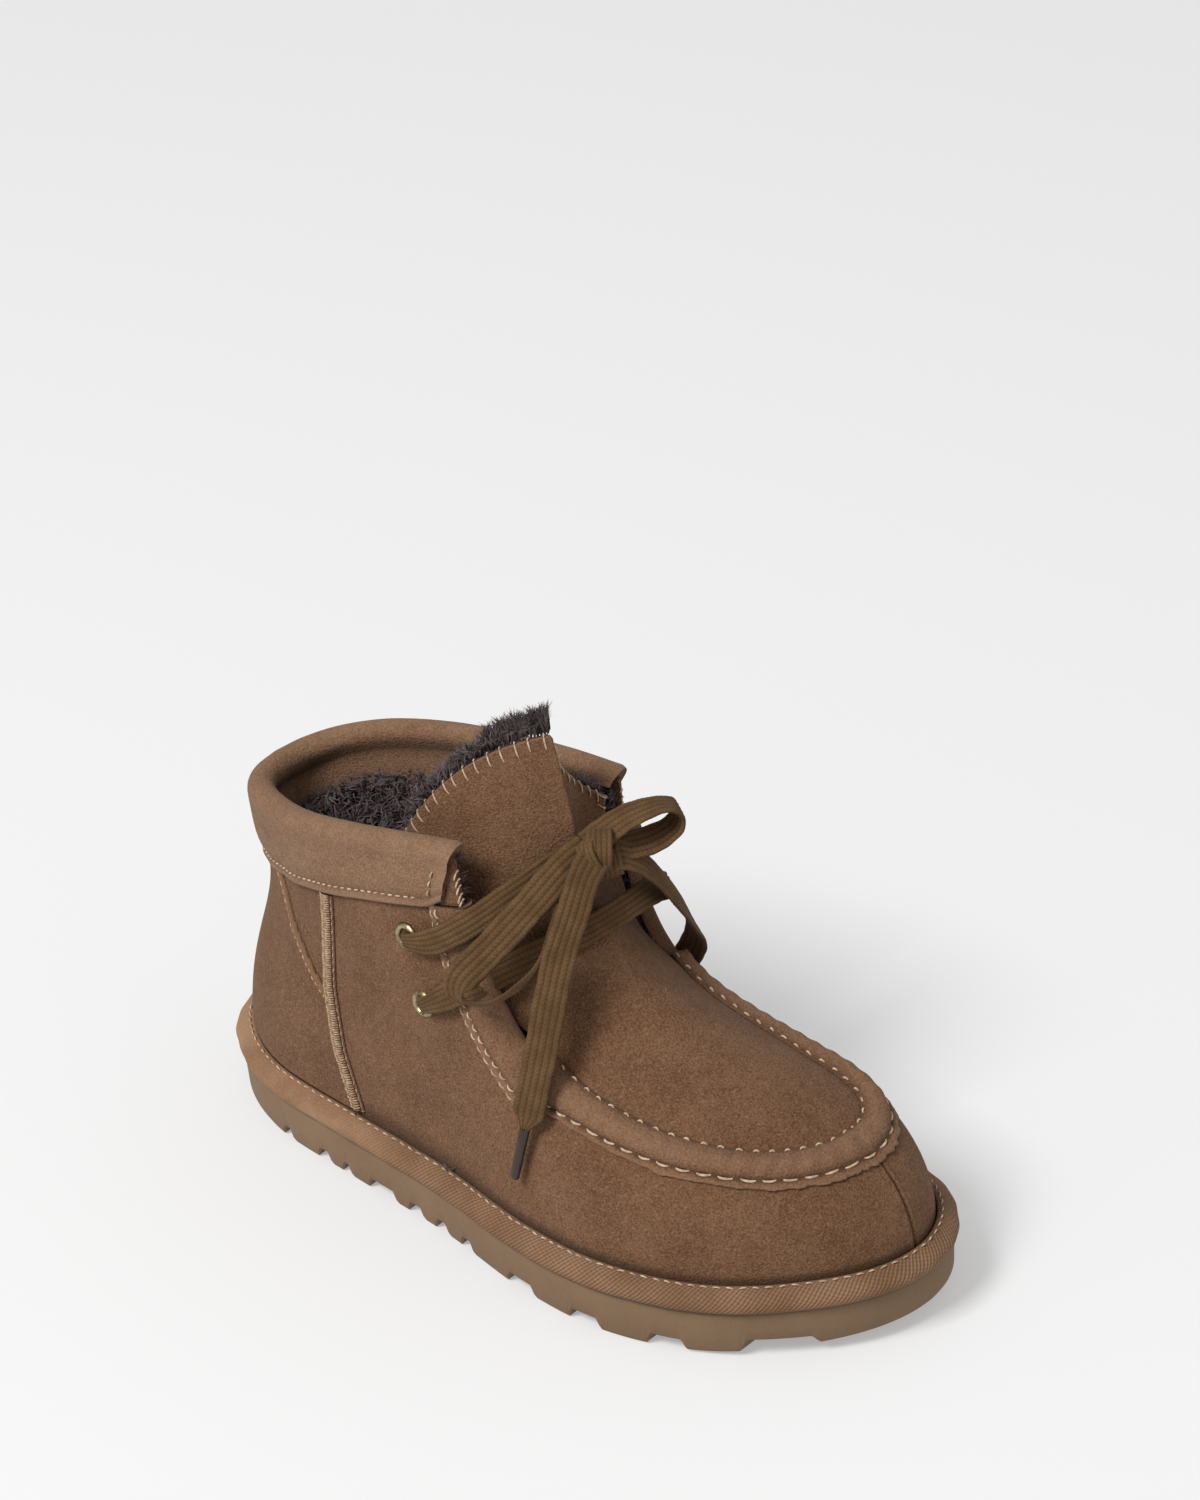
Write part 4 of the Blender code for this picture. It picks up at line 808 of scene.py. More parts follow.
# Painted shade: the wall darkens towards the rand, most on the strip tucked under it.
near_rand = np.concatenate([[0.0], LEVELS])
wall_shade = np.tile(0.55 * np.exp(-(near_rand / 0.035) ** 2), (ring_count, 1))
wall_shade[0] = 0.75
wall_shade = wall_shade.reshape(-1)
piece("upper_wall", np.concatenate([skin.reshape(-1, 3), inner.reshape(-1, 3)]), sheet_faces, upper_suede,
      ("upper",), shades={"painted_shade": np.concatenate([wall_shade, wall_shade * 0]), "wear_and_highlight": np.zeros(2 * shift)})

vamp = apron_points.copy()
for row in range(TUCK_ROWS):
    vamp[row] -= apron_normals[row] * THROAT_TUCK * (1 - row / TUCK_ROWS)
for ends, width, depth in APRON_CREASES:
    vamp = crease(vamp, apron_normals, ends, width, depth)
vamp_inner = vamp - apron_normals * SKIN_THICKNESS
row_count, column_count = vamp.shape[:2]
shift = row_count * column_count
vamp_faces = two_sided(grid_faces(row_count, column_count), shift)
vamp_faces += [(k, k + 1, shift + k + 1, shift + k) for k in range(column_count - 1)]
piece("apron", np.concatenate([vamp.reshape(-1, 3), vamp_inner.reshape(-1, 3)]), vamp_faces, upper_suede,
      shades={"painted_shade": np.zeros(2 * shift), "wear_and_highlight": np.zeros(2 * shift)})

# The apron seam and the facing binding. A strip of paler suede is folded over the joint of
# wall and apron, padded to a roll and sewn through on both sides with thick pale thread;
# it runs on up both facings as their binding. Its raw flange shows outside the stitches.
SOFT_GAP = 0.0005
ROLL_INNER = 0.0046
ROLL_OUTER = 0.0056
ROLL_FLANGE = 0.0030
ROLL_HEIGHT = 0.0042
FLANGE_THICKNESS = 0.0010
SUNK = 0.0002
BINDING_WIDTH = 0.0125
BINDING_START = 0.466
THREAD_COLOUR = (0.520, 0.390, 0.270)
THREAD_RINGS, THREAD_SIDES = 7, 7

thread = Finish("sewing_thread", THREAD_COLOUR, 0.7, sheen=0.05, specular=0.25)
thread.colour(thread.mix(thread.noise(0.0018).above(0.35, 0.65), (0.380, 0.260, 0.160),
                         (0.600, 0.460, 0.330)))
thread.bump(thread.noise(0.00025, 1.0), 0.0001)
dull_thread = Finish("dull_thread", (0.300, 0.205, 0.135), 0.8, sheen=0.05, specular=0.2)
dull_thread.colour(dull_thread.mix(dull_thread.noise(0.0012).above(0.35, 0.65), (0.260, 0.160, 0.092),
                                   (0.500, 0.350, 0.230)))


def stitches(name, runs, finish=None):
    """Thread between two holes for each run: start, end, outward normal, radius, rise."""
    points, faces = [], []
    for start, end, normal, radius, rise in runs:
        start, end, normal = (np.asarray(v, float) for v in (start, end, normal))
        run = unit(end - start)
        side = unit(np.cross(run, normal))
        out = np.cross(side, run)
        base = len(points)
        for i in range(THREAD_RINGS):
            share = i / (THREAD_RINGS - 1)
            arch = math.sin(math.pi * share) ** 0.6
            centre = start + (end - start) * share + out * (rise * arch - radius * 0.9 * (1 - arch))
            size = radius * (0.55 + 0.45 * arch)
            for k in range(THREAD_SIDES):
                angle = 2 * math.pi * k / THREAD_SIDES
                points.append(centre + side * math.cos(angle) * size + out * math.sin(angle) * size)
        faces += tube_faces(THREAD_RINGS, THREAD_SIDES, base)
    return piece(name, points, faces, finish or thread)


def reading_at(distance, reach, rows):
    """Point, or direction, at a distance along rows of them."""
    return np.array([np.interp(distance, reach, rows[:, k]) for k in range(3)])


def sewn_line(spots, normals, length, gap, radius, rise, seed, sway):
    """Runs of stitches along a line of points, a little uneven as sewn ones are."""
    spots, normals = np.array(spots), np.array(normals)
    reach = lengths_along(spots)
    draw = random.Random(seed)
    runs, position = [], gap
    while position + length < reach[-1]:
        long = length * draw.uniform(0.88, 1.08)
        normal = unit(reading_at(position + long / 2, reach, normals))
        start, end = (reading_at(where, reach, spots) for where in (position, position + long))
        shift = unit(np.cross(end - start, normal)) * draw.uniform(-1, 1) * sway
        runs.append((start + shift, end - shift, normal, radius, rise))
        position += long + gap * draw.uniform(0.85, 1.15)
    return runs


def strip(name, sections, finish, stands_for=(), wear_and_highlight=(), painted_shade=(), worn_ends=None):
    """A closed strip through its sections. Columns of wear and painted highlight, and of painted
    shade, are given as first, last and how much; worn_ends is how pale with wear the three sections at each
    end are."""
    count, around = sections.shape[:2]
    shades = {}
    for word, columns in (("wear_and_highlight", wear_and_highlight), ("painted_shade", painted_shade)):
        shades[word] = np.zeros((count, around))
        for first, last, amount in columns:
            shades[word][:, first:last + 1] = amount
    if worn_ends is not None:
        shades["wear_and_highlight"][:3] = shades["wear_and_highlight"][-3:] = worn_ends
    return piece(name, sections.reshape(-1, 3), tube_faces(count, around), finish, stands_for,
                 divide=1, shades={word: values.reshape(-1) for word, values in shades.items()})


def roll_section(ring, pucker):
    """Section of the padded seam; pucker from 0 to 1 is how much a stitch draws it in."""
    turn, side = abs(ring), (-1 if ring < 0 else 1)
    column = wall_points[int(round((ring + 1) / 2 * (len(RING) - 1)))]
    reach = np.linalg.norm(column[-1] - column[0])
    point, normal = on_wall(ring, 1.0)
    behind, ahead = top_line(side * max(turn - RING_STEP, 0)), top_line(side * min(turn + RING_STEP, 1.0))
    run = unit(ahead - behind)
    inward = unit(np.array((run[1], -run[0], 0))) * side
    if turn > 0.995:
        inward = np.array((-1.0, 0, 0))
    crest = unit(normal + np.array((0, 0, 1.2)))
    ease = min(1.0, max(0.0, (turn - THROAT) / 0.06))
    foot = BINDING_WIDTH + (ROLL_OUTER + ROLL_FLANGE - BINDING_WIDTH) * ease
    seam = foot - ROLL_FLANGE
    tall = ROLL_HEIGHT * (1 - 0.10 * pucker)

    def outside(distance, offset):
        return on_wall(ring, 1 - distance / reach, SOFT_GAP * 0.4 + offset)[0]

    def inside(distance, offset):
        spot = point + inward * distance
        return on_apron(spot[0], spot[1], SOFT_GAP * 0.4 + offset)[0]

    return [outside(foot, -SUNK), outside(foot * 0.55, -SUNK), point + crest * SUNK,
            inside(ROLL_INNER * 0.5, -SUNK), inside(ROLL_INNER + 0.0004, -0.0003),
            inside(ROLL_INNER, FLANGE_THICKNESS * (1 - 0.5 * pucker)), inside(ROLL_INNER * 0.72, tall * 0.62),
            inside(ROLL_INNER * 0.3, tall * 0.98), point + crest * (SOFT_GAP + tall),
            outside(seam * 0.42, tall * 0.98), outside(seam * 0.78, tall * 0.66),
            outside(seam * 0.95, FLANGE_THICKNESS * (1.3 - 0.7 * pucker)),
            outside(seam * 1.04, FLANGE_THICKNESS * (0.9 - 0.5 * pucker)),
            outside(seam + ROLL_FLANGE * 0.45, FLANGE_THICKNESS * 1.15),
            outside(foot, FLANGE_THICKNESS * 1.25), outside(foot + 0.0003, FLANGE_THICKNESS * 0.7)]


OUTER_PITCH, OUTER_GAP = 0.0066, 0.0016
roll_rings = list(np.linspace(-THROAT, -1, 190)) + list(np.linspace(1, THROAT, 190))[1:]
crest_line = np.array([top_line(ring) for ring in roll_rings])
crest_reach = lengths_along(crest_line)
roll_sections = []
for ring, distance in zip(roll_rings, crest_reach):
    roll_sections.append(roll_section(ring, 0.5 + 0.5 * math.cos(2 * math.pi * distance / OUTER_PITCH)))
roll_points = np.array(roll_sections)
for k, raw in ((14, 0.0004), (15, 0.0005)):
    draw = np.random.default_rng(5)
    ragged = np.convolve(draw.normal(0, 1, len(roll_points)), np.ones(5) / 3, "same") * raw
    roll_points[:, k] += ragged[:, None] * unit(roll_points[:, 14] - roll_points[:, 12])
# The roll's crest gets a painted highlight and its raw flange is paler with wear; the roll's inner foot and
# its outer stitch groove get painted shade.
strip("apron_seam_roll", roll_points, roll_suede, ("apron_roll",), wear_and_highlight=((7, 9, 0.22), (14, 15, 0.30)),
      painted_shade=((5, 5, 0.55), (11, 12, 0.55)))
outer_line = (roll_points[:, 11] + roll_points[:, 12]) / 2
outer_normals = unit(roll_points[:, 12] - roll_points[:, 1])
stitches("apron_seam_outer_stitches",
         sewn_line(outer_line, outer_normals, OUTER_PITCH - OUTER_GAP, OUTER_GAP, radius=0.00042,
                   rise=0.0006, seed=3, sway=0.0002))
inner_line = roll_points[:, 5] * 0.75 + roll_points[:, 6] * 0.25
inner_normals = unit(roll_points[:, 5] - roll_points[:, 3] + np.array((0, 0, 0.003)))
stitches("apron_seam_inner_stitches",
         sewn_line(inner_line, inner_normals, length=0.0022, gap=0.0030, radius=0.00038, rise=0.0003,
                   seed=4, sway=0.0002))

# The facing bindings. The same paler suede wraps the cut edge of each facing from the
# throat up towards the cuff, and a double row of stitches holds it 13 mm back.
BINDING_MARGIN = 0.012


def binding_section(ring):
    side, turn = (-1 if ring < 0 else 1), abs(ring)
    point, normal = on_wall(ring, 1.0)
    low, high = top_line(side * min(turn + RING_STEP, 1)), top_line(side * (turn - RING_STEP))
    tangent = unit(high - low)
    back = unit(np.array((tangent[2], -tangent[0])))
    if back[0] > 0:
        back = -back
    edge = unit(np.cross(normal, tangent))
    if edge[0] < 0:
        edge = -edge

    def outside(distance, offset):
        place_there = wall_spot(side, point[0] + back[0] * distance, point[2] + back[1] * distance)
        return on_wall(*place_there, offset)[0]

    def around_edge(depth, offset):
        return point - normal * depth + edge * offset

    wide = BINDING_WIDTH
    return [outside(wide, 0), outside(wide * 0.5, 0), outside(wide * 0.1, 0),
            around_edge(WALL * 0.3, 0.0001), around_edge(WALL + 0.0012, 0.0),
            around_edge(WALL + 0.0022, 0.0008), around_edge(WALL * 0.7, 0.0021),
            around_edge(WALL * 0.15, 0.0023), around_edge(-0.0011, 0.0014), outside(wide * 0.10, 0.0016),
            outside(wide * 0.35, 0.0014), outside(wide * 0.66, 0.0013), outside(wide * 0.74, 0.0006),
            outside(wide * 0.82, 0.0012), outside(wide * 0.97, 0.0012), outside(wide * 1.0, 0.0004)]


for side, word in ((-1, "outer"), (1, "inner")):
    turns = np.linspace(turn_at(BINDING_START) - BINDING_MARGIN, THROAT + BINDING_MARGIN, 70)
    sections = np.array([binding_section(side * turn) for turn in turns])
    # The rolled edge gets a painted highlight and the raw margin is paler with wear; the groove of the outer
    # stitch row gets painted shade.
    strip(f"facing_binding_{word}", sections, roll_suede, wear_and_highlight=((6, 8, 0.30), (13, 15, 0.35)),
          painted_shade=((12, 12, 0.4),))
    normals = unit(sections[:, 11] - sections[:, 1])
    runs = sewn_line(sections[:, 12] + normals * 0.0004, normals, length=0.0030, gap=0.0012,
                     radius=0.00036, rise=0.0004, seed=7 + side, sway=0.0002)
    line = sections[:, 14] * 0.6 + sections[:, 13] * 0.4
    runs += sewn_line(line, normals, length=0.0026, gap=0.0016, radius=0.00026, rise=0.0002,
                      seed=9 + side, sway=0.0003)
    stitches(f"facing_stitches_{word}", runs)

# The heel counter. A second layer of suede wraps the heel between the side seams, its
# top edge sweeping down from under the cuff; the edge is raw and closely sewn.
COUNTER_THICKNESS = 0.0012
SIDE_SEAM_WIDTH = 0.0056
CUFF_DEPTH = 0.0275
SIDE_SEAM_ROWS = [(0.195, 0.297), (0.330, 0.273), (0.500, 0.262), (0.715, 0.266)]
COUNTER_ROWS = [(0.100, 0.900), (0.118, 0.760), (0.138, 0.690), (0.180, 0.585), (0.230, 0.510),
                (0.257, 0.475)]
COUNTER_END = 0.36
COUNTER_LEVELS = 26


def seam_along(up):
    """Where the side seam lies along, at a height."""
    return float(np.interp(up / COLLAR_HEIGHT, *zip(*SIDE_SEAM_ROWS))) * LENGTH


def counter_top(along):
    """How high the counter's edge lies, at a place along."""
    return float(np.interp(along / LENGTH, *zip(*COUNTER_ROWS))) * COLLAR_HEIGHT


counter_columns = []
for ring in np.linspace(-turn_at(COUNTER_END), turn_at(COUNTER_END), 220):
    column = np.array([on_wall(ring, level)[0] for level in LEVELS])
    reach = np.linalg.norm(column[-1] - column[0])
    allowed = [level for level, point in zip(LEVELS, column)
               if point[2] < counter_top(point[0]) and level < 1 - (CUFF_DEPTH - 0.004) / reach
               and point[0] < seam_along(point[2]) - 0.0012]
    if len(allowed) >= 4:
        counter_columns.append((ring, max(0.0, min(allowed) - 0.005), max(allowed)))
under, over, wear_and_highlight = [], [], []
for ring, low, high in counter_columns:
    for k, level in enumerate(np.linspace(low, high, COUNTER_LEVELS)):
        at_edge = k in (0, COUNTER_LEVELS - 1)
        under.append(on_wall(ring, level, -SUNK)[0])
        over.append(on_wall(ring, level, COUNTER_THICKNESS * (0.75 if at_edge else 1.0))[0])
        wear_and_highlight.append(0.55 if k >= COUNTER_LEVELS - 2 else 0.0)
count = len(counter_columns)
faces = grid_faces(count, COUNTER_LEVELS)
shift = count * COUNTER_LEVELS
faces = [tuple(shift + k for k in face) for face in faces] + [face[::-1] for face in faces]
for i in range(count - 1):
    for k in (0, COUNTER_LEVELS - 1):
        a, b = i * COUNTER_LEVELS + k, (i + 1) * COUNTER_LEVELS + k
        faces.append((a, b, shift + b, shift + a))
for i in (0, count - 1):
    for a in range(i * COUNTER_LEVELS, (i + 1) * COUNTER_LEVELS - 1):
        faces.append((a, a + 1, shift + a + 1, shift + a))
piece("heel_counter_panel", under + over, faces, upper_suede, ("heel_counter",),
      shades={"wear_and_highlight": wear_and_highlight * 2, "painted_shade": [0.0] * (2 * shift)})
edge_spots, edge_normals = zip(*(on_wall(ring, high - 0.022, COUNTER_THICKNESS)
                                 for ring, _, high in counter_columns))
stitches("heel_counter_stitches",
         sewn_line(edge_spots, edge_normals, length=0.0018, gap=0.0009, radius=0.00022, rise=0.00012,
                   seed=21, sway=0.0001), dull_thread)

# The side seams. Wall and heel are butted and sewn over on an overlock machine, which
# leaves a ridge wrapped in fine thread; its front edge sits in a fold darkened with painted shade.
SIDE_SEAM_PROFILE = [(-0.52, -0.0004), (-0.50, 0.0007), (-0.34, 0.0017), (-0.08, 0.0021), (0.16, 0.0017),
                     (0.26, 0.0009), (0.30, 0.0004), (0.36, 0.0010), (0.48, 0.0009), (0.54, -0.0004)]
SIDE_SEAM_TOP = 0.745
WRAP_PITCH = 0.00082
WRAP_RADIUS = 0.00030
for side, word in ((-1, "lateral"), (1, "medial")):
    sections, wraps = [], []
    for up in np.linspace(SIDE_SEAM_ROWS[0][0] * COLLAR_HEIGHT - 0.001, SIDE_SEAM_TOP * COLLAR_HEIGHT, 90):
        spots = [wall_spot(side, seam_along(up) + across * SIDE_SEAM_WIDTH, up)
                 for across, _ in SIDE_SEAM_PROFILE]
        sections.append([on_wall(*spot, lift)[0] for spot, (_, lift) in zip(spots, SIDE_SEAM_PROFILE)])
    sections = np.array(sections)
    count = len(sections)
    # Painted shade darkens the fold in front of the ridge.
    strip(f"side_seam_ridge_{word}", sections, trim_suede, (f"side_seam_{word}",), painted_shade=((5, 6, 0.8),))
    reach = lengths_along(sections[:, 3])
    draw = random.Random(31 + side)
    for distance in np.arange(0.0008, reach[-1] - 0.0005, WRAP_PITCH):
        index = np.interp(distance, reach, np.arange(count))
        low = int(index)
        high = min(low + 1, count - 1)
        section = sections[low] * (1 - index + low) + sections[high] * (index - low)
        later = sections[min(high + 1, count - 1)]
        lean = (later[3] - section[3]) * 0.35
        normal = unit(section[3] - (section[0] + section[9]) / 2)
        jitter = np.array([draw.uniform(-1, 1) for _ in range(3)]) * 0.00012
        ridge = section[3] + lean * 0.5 + jitter
        rear_normal = unit(section[2] - section[8]) + normal
        wraps.append((section[1] + jitter, ridge, rear_normal, WRAP_RADIUS, 0.00045))
        wraps.append((ridge, section[5] + lean, normal, WRAP_RADIUS, 0.0004))
    stitches(f"side_seam_threads_{word}", wraps, dull_thread)
    front = sections[:, 8] * 0.6 + sections[:, 7] * 0.4
    front_normals = unit(sections[:, 7] - sections[:, 0] + sections[:, 3] - sections[:, 0])
    stitches(f"side_seam_stitches_{word}",
             sewn_line(front, front_normals, length=0.0016, gap=0.0012, radius=0.00022, rise=0.00012,
                       seed=41 + side, sway=0.0001), dull_thread)

# The cuff. A paler suede band is folded over the collar, its upper edge a soft roll; a
# row of small stitches holds it 4 mm above its raw lower edge and up its front ends.
CUFF_INNER_DEPTH = 0.0225
CUFF_LEAF = 0.0018
COLLAR_ROLL = 0.0010
STITCH_DROP = 0.0040
cuff_rings = np.linspace(-CORNER, CORNER, 260)
cuff_sections = []
for ring in cuff_rings:
    reach = wall_height(ring)
    point, normal = on_wall(ring, 1.0)
    upward = unit(point - on_wall(ring, 0.97)[0])
    heart = point - normal * WALL / 2
    full = WALL / 2 + SOFT_GAP + CUFF_LEAF + COLLAR_ROLL
    end = min(abs(ring - cuff_rings[0]), abs(ring - cuff_rings[-1]))
    soft = 0.00025 * math.sin(ring * 37) + 0.0002 * math.sin(ring * 91 + 1)
    leaf = CUFF_LEAF * (0.75 + 0.25 * min(1.0, end / 0.02))
    back_ring = math.copysign(min(abs(ring), CORNER - 0.032 * (1 - float(eased(end / 0.06)))), ring)

    def outer(depth, offset):
        return on_wall(ring, 1 - depth / reach, SOFT_GAP + offset + soft * min(1, depth / 0.01))[0]

    def inside(depth, offset):
        return on_wall(back_ring, 1 - depth / reach, -WALL - SOFT_GAP - offset)[0]

    def arc(degrees):
        angle = math.radians(degrees)
        return heart + (normal * math.cos(angle) + upward * math.sin(angle)) * full

    corner = max(0.0, 1 - end / 0.018)
    deep = CUFF_DEPTH - 0.0055 * (1 - math.sqrt(1 - corner ** 2))
    section = [outer(deep, -SUNK), outer(deep + 0.0003, leaf * 0.55), outer(deep - 0.0006, leaf * 1.05),
               outer(deep - 0.0028, leaf * 1.10), outer(deep - STITCH_DROP, leaf * 0.62),
               outer(deep - 0.0055, leaf * 1.15), outer(deep * 0.60, leaf * 1.30),
               outer(deep * 0.38, leaf * 1.05), outer(0.0058, leaf * 1.05)]
    section += [arc(degrees) for degrees in (2, 25, 50, 75, 100, 125, 150, 178)]
    section += [inside(0.0062, leaf * 0.05), inside(0.0085, leaf * 0.75),
                inside(CUFF_INNER_DEPTH, leaf * 0.7),
                inside(CUFF_INNER_DEPTH, 0.0), inside(0.0040, 0.0), heart + upward * 0.0019,
                outer(0.0040, -SUNK)]
    cuff_sections.append(section)
cuff_points = np.array(cuff_sections)
# The raw lower edge and cut ends are paler with wear and the top of the roll has a painted highlight; the
# stitch line and the inside of the collar get painted shade.
strip("collar_cuff", cuff_points, trim_suede, ("cuff",), wear_and_highlight=((0, 2, 0.55), (9, 13, 0.12)),
      painted_shade=((4, 4, 0.35), (17, 17, 0.8), (18, 23, 0.25)), worn_ends=0.3)
cuff_normals = np.array([on_wall(ring, 0.75)[1] for ring in cuff_rings])
low_line, low_normals = cuff_points[6:-6, 4], cuff_normals[6:-6]
runs = sewn_line(low_line + low_normals * 0.0002, low_normals, length=0.0022, gap=0.0011, radius=0.00030,
                 rise=0.0003, seed=51, sway=0.0001)
for end_index in (3, len(cuff_points) - 4):
    front_normals = np.repeat(cuff_normals[end_index][None, :], 5, axis=0)
    runs += sewn_line(cuff_points[end_index, 4:9] + front_normals * 0.0004, front_normals, length=0.0022,
                      gap=0.0011, radius=0.00030, rise=0.0003, seed=52, sway=0.0001)
stitches("cuff_stitches", runs)


def whip_runs(edge_line, inward, outward, depth, pitch, radius, seed):
    """Stitches laid across an edge, each from its hole to over the edge."""
    reach = lengths_along(edge_line)
    draw = random.Random(seed)
    runs = []
    for distance in np.arange(pitch / 2, reach[-1], pitch):
        distance += draw.uniform(-0.1, 0.1) * pitch
        edge, inn, out = (reading_at(distance, reach, rows) for rows in (edge_line, inward, outward))
        inn, out = unit(inn), unit(out)
        along_edge = reading_at(distance + 0.001, reach, edge_line) - edge
        slant = 0
        if np.linalg.norm(along_edge) > 0:
            slant = unit(along_edge) * draw.uniform(-0.15, 0.25) * depth * 0.35
        hole = edge + inn * depth * draw.uniform(0.85, 1.1) + slant
        over = edge - inn * 0.0004
        runs.append((hole, over, out, radius, 0.0003))
        runs.append((over, edge - inn * 0.0002 - out * 0.0018, -inn, radius, 0.0003))
    return runs


for side, word in ((-1, "outer"), (1, "inner")):
    edge_turns = np.linspace(CORNER + 0.003, turn_at(BINDING_START) - 0.004, 12)
    wall_edge = np.array([on_wall(side * turn, 1.0, 0.0002)[0] for turn in edge_turns])
    wall_inward = np.array([on_wall(side * turn, 0.95, 0.0002)[0] for turn in edge_turns]) - wall_edge
    wall_outward = np.array([on_wall(side * turn, 1.0)[1] for turn in edge_turns])
    stitches(f"facing_whip_stitches_{word}",
             whip_runs(wall_edge, wall_inward, wall_outward, depth=0.0026, pitch=0.0024, radius=0.00032,
                       seed=81 + side))

# The tongue. The apron's suede carries on up the instep as a broad tongue, folded to a
# ridge like a roof; its free edges are whip-stitched to the fleece that shows past them.
TONGUE_ROWS = [
    (0.573, 0.822, 0.530, -0.550, 0.600, 0.562, 0.220, 0.765, 0.548, 0.510, 0.640, 0.060),
    (0.556, 0.919, 0.480, -0.540, 0.700, 0.530, 0.200, 0.875, 0.525, 0.510, 0.755, 0.080),
    (0.546, 1.030, 0.430, -0.515, 0.800, 0.505, 0.180, 0.975, 0.516, 0.500, 0.850, 0.110),
    (0.536, 1.135, 0.395, -0.490, 0.880, 0.495, 0.165, 1.040, 0.512, 0.490, 0.925, 0.140),
    (0.527, 1.222, 0.368, -0.470, 0.932, 0.490, 0.150, 1.085, 0.515, 0.490, 0.965, 0.165),
]
RIDGE_ACROSS = 0.039
TONGUE_THICKNESS = 0.0026
TONGUE_MARGIN = 0.075
RIDGE = 48
tongue_shares = np.linspace(0, 1, 2 * RIDGE + 1)


def apron_line(row, sunk):
    """The apron's row as the tongue's width takes it, sunk below its face."""
    line = apron_points[row] - apron_normals[row] * sunk
    shares = TONGUE_MARGIN + (1 - 2 * TONGUE_MARGIN) * tongue_shares
    return np.stack([np.interp(shares, APRON_SHARES, line[:, k]) for k in range(3)], axis=1)


tongue_lines = [apron_line(12, 0.0008), apron_line(4, -0.0001)]
for row in TONGUE_ROWS:
    def shares_to_point(k):
        return np.array((row[k] * LENGTH, row[k + 1] * HALF_BALL, row[k + 2] * COLLAR_HEIGHT))

    ridge = np.array((row[0] * LENGTH, RIDGE_ACROSS * HALF_BALL, row[1] * COLLAR_HEIGHT))
    outer_edge, fold, inner_edge = (shares_to_point(k) for k in (2, 5, 8))
    line = []
    for share in tongue_shares:
        out = abs(2 * share - 1)
        if share < 0.5:
            rounded = out ** 1.15
            bulge = unit(np.array((-0.35, -0.45, 0.80))) * row[11] * HALF_BALL
            line.append(ridge + (outer_edge - ridge) * rounded + bulge * 4 * rounded * (1 - rounded))
        else:
            first, second = ridge + (fold - ridge) * out, fold + (inner_edge - fold) * out
            line.append(first + (second - first) * out)
    tongue_lines.append(np.array(line))
tongue_lines = np.array(tongue_lines)
fine_lines = []
for i in range(len(tongue_lines) - 1):
    four = [tongue_lines[min(max(k, 0), len(tongue_lines) - 1)] for k in (i - 1, i, i + 1, i + 2)]
    fine_lines += [curve_between(*four, share) for share in np.arange(0, 1, 1 / 18)]
fine_lines.append(tongue_lines[-1])
tongue_face = np.array(fine_lines)
weights = np.array((1, 2, 3, 2, 1)) / 9
softened = tongue_face.copy()
for c in range(3, 94):
    softened[:, c] = sum(w * tongue_face[:, c + k - 2] for k, w in enumerate(weights))
tongue_face = softened
tongue_normals = unit(np.cross(np.gradient(tongue_face, axis=0), np.gradient(tongue_face, axis=1)))
if (tongue_normals[60, 20] * np.array((0.6, -0.6, 0.4))).sum() < 0:
    tongue_normals = -tongue_normals
TONGUE_CREASES = [
    ([(0.150, -0.020, 0.118), (0.146, -0.021, 0.126), (0.140, -0.021, 0.134)], 0.0045, 0.0008),
    ([(0.150, -0.010, 0.108), (0.154, -0.002, 0.112), (0.157, 0.006, 0.112)], 0.0035, 0.0009),
]
for ends, width, depth in TONGUE_CREASES:
    tongue_face = crease(tongue_face, tongue_normals, ends, width, depth)
tongue_back = tongue_face - tongue_normals * (TONGUE_THICKNESS - 0.0008)
count, around = tongue_face.shape[:2]
shift = count * around
faces = two_sided(grid_faces(count, around), shift)
border = [i * around for i in range(count)] + [(count - 1) * around + c for c in range(1, around)]
border += [i * around + around - 1 for i in range(count - 2, -1, -1)]
faces += [(a, b, shift + b, shift + a) for a, b in zip(border, border[1:])]
# The free edges are paler with wear; the fold along the ridge gets a painted highlight.
wear_and_highlight = np.zeros((count, around))
wear_and_highlight[:, :1] = wear_and_highlight[-1:, :] = wear_and_highlight[:, -1:] = 0.5
ridge_highlight = np.exp(-((tongue_shares - 0.5) / 0.03) ** 2) * 0.18
wear_and_highlight = np.maximum(wear_and_highlight, ridge_highlight[None, :])
piece("tongue_sheet", np.concatenate([tongue_face.reshape(-1, 3), tongue_back.reshape(-1, 3)]), faces,
      upper_suede, ("tongue",),
      shades={"wear_and_highlight": np.concatenate([wear_and_highlight.reshape(-1)] * 2), "painted_shade": np.zeros(2 * shift)})
SEWN_FROM = 66
near, far = slice(1, RIDGE + 1), slice(RIDGE + 2, None)
side_face, top_face = tongue_face[SEWN_FROM:], tongue_face[-1]
side_normals, top_normals = tongue_normals[SEWN_FROM:], tongue_normals[-1]
down = tongue_face[-5] - top_face
runs = whip_runs(np.concatenate([side_face[:, 0], top_face[near]]),
                 np.concatenate([side_face[:, 5] - side_face[:, 0], down[near]]),
                 np.concatenate([side_normals[:, 0], top_normals[near]]),
                 depth=0.0040, pitch=0.0046, radius=0.00030, seed=61)
runs += whip_runs(np.concatenate([top_face[far], side_face[::-1, -1]]),
                  np.concatenate([down[far], side_face[::-1, -6] - side_face[::-1, -1]]),
                  np.concatenate([top_normals[far], side_normals[::-1, -1]]),
                  depth=0.0034, pitch=0.0040, radius=0.00028, seed=62)
stitches("tongue_edge_stitches", runs)

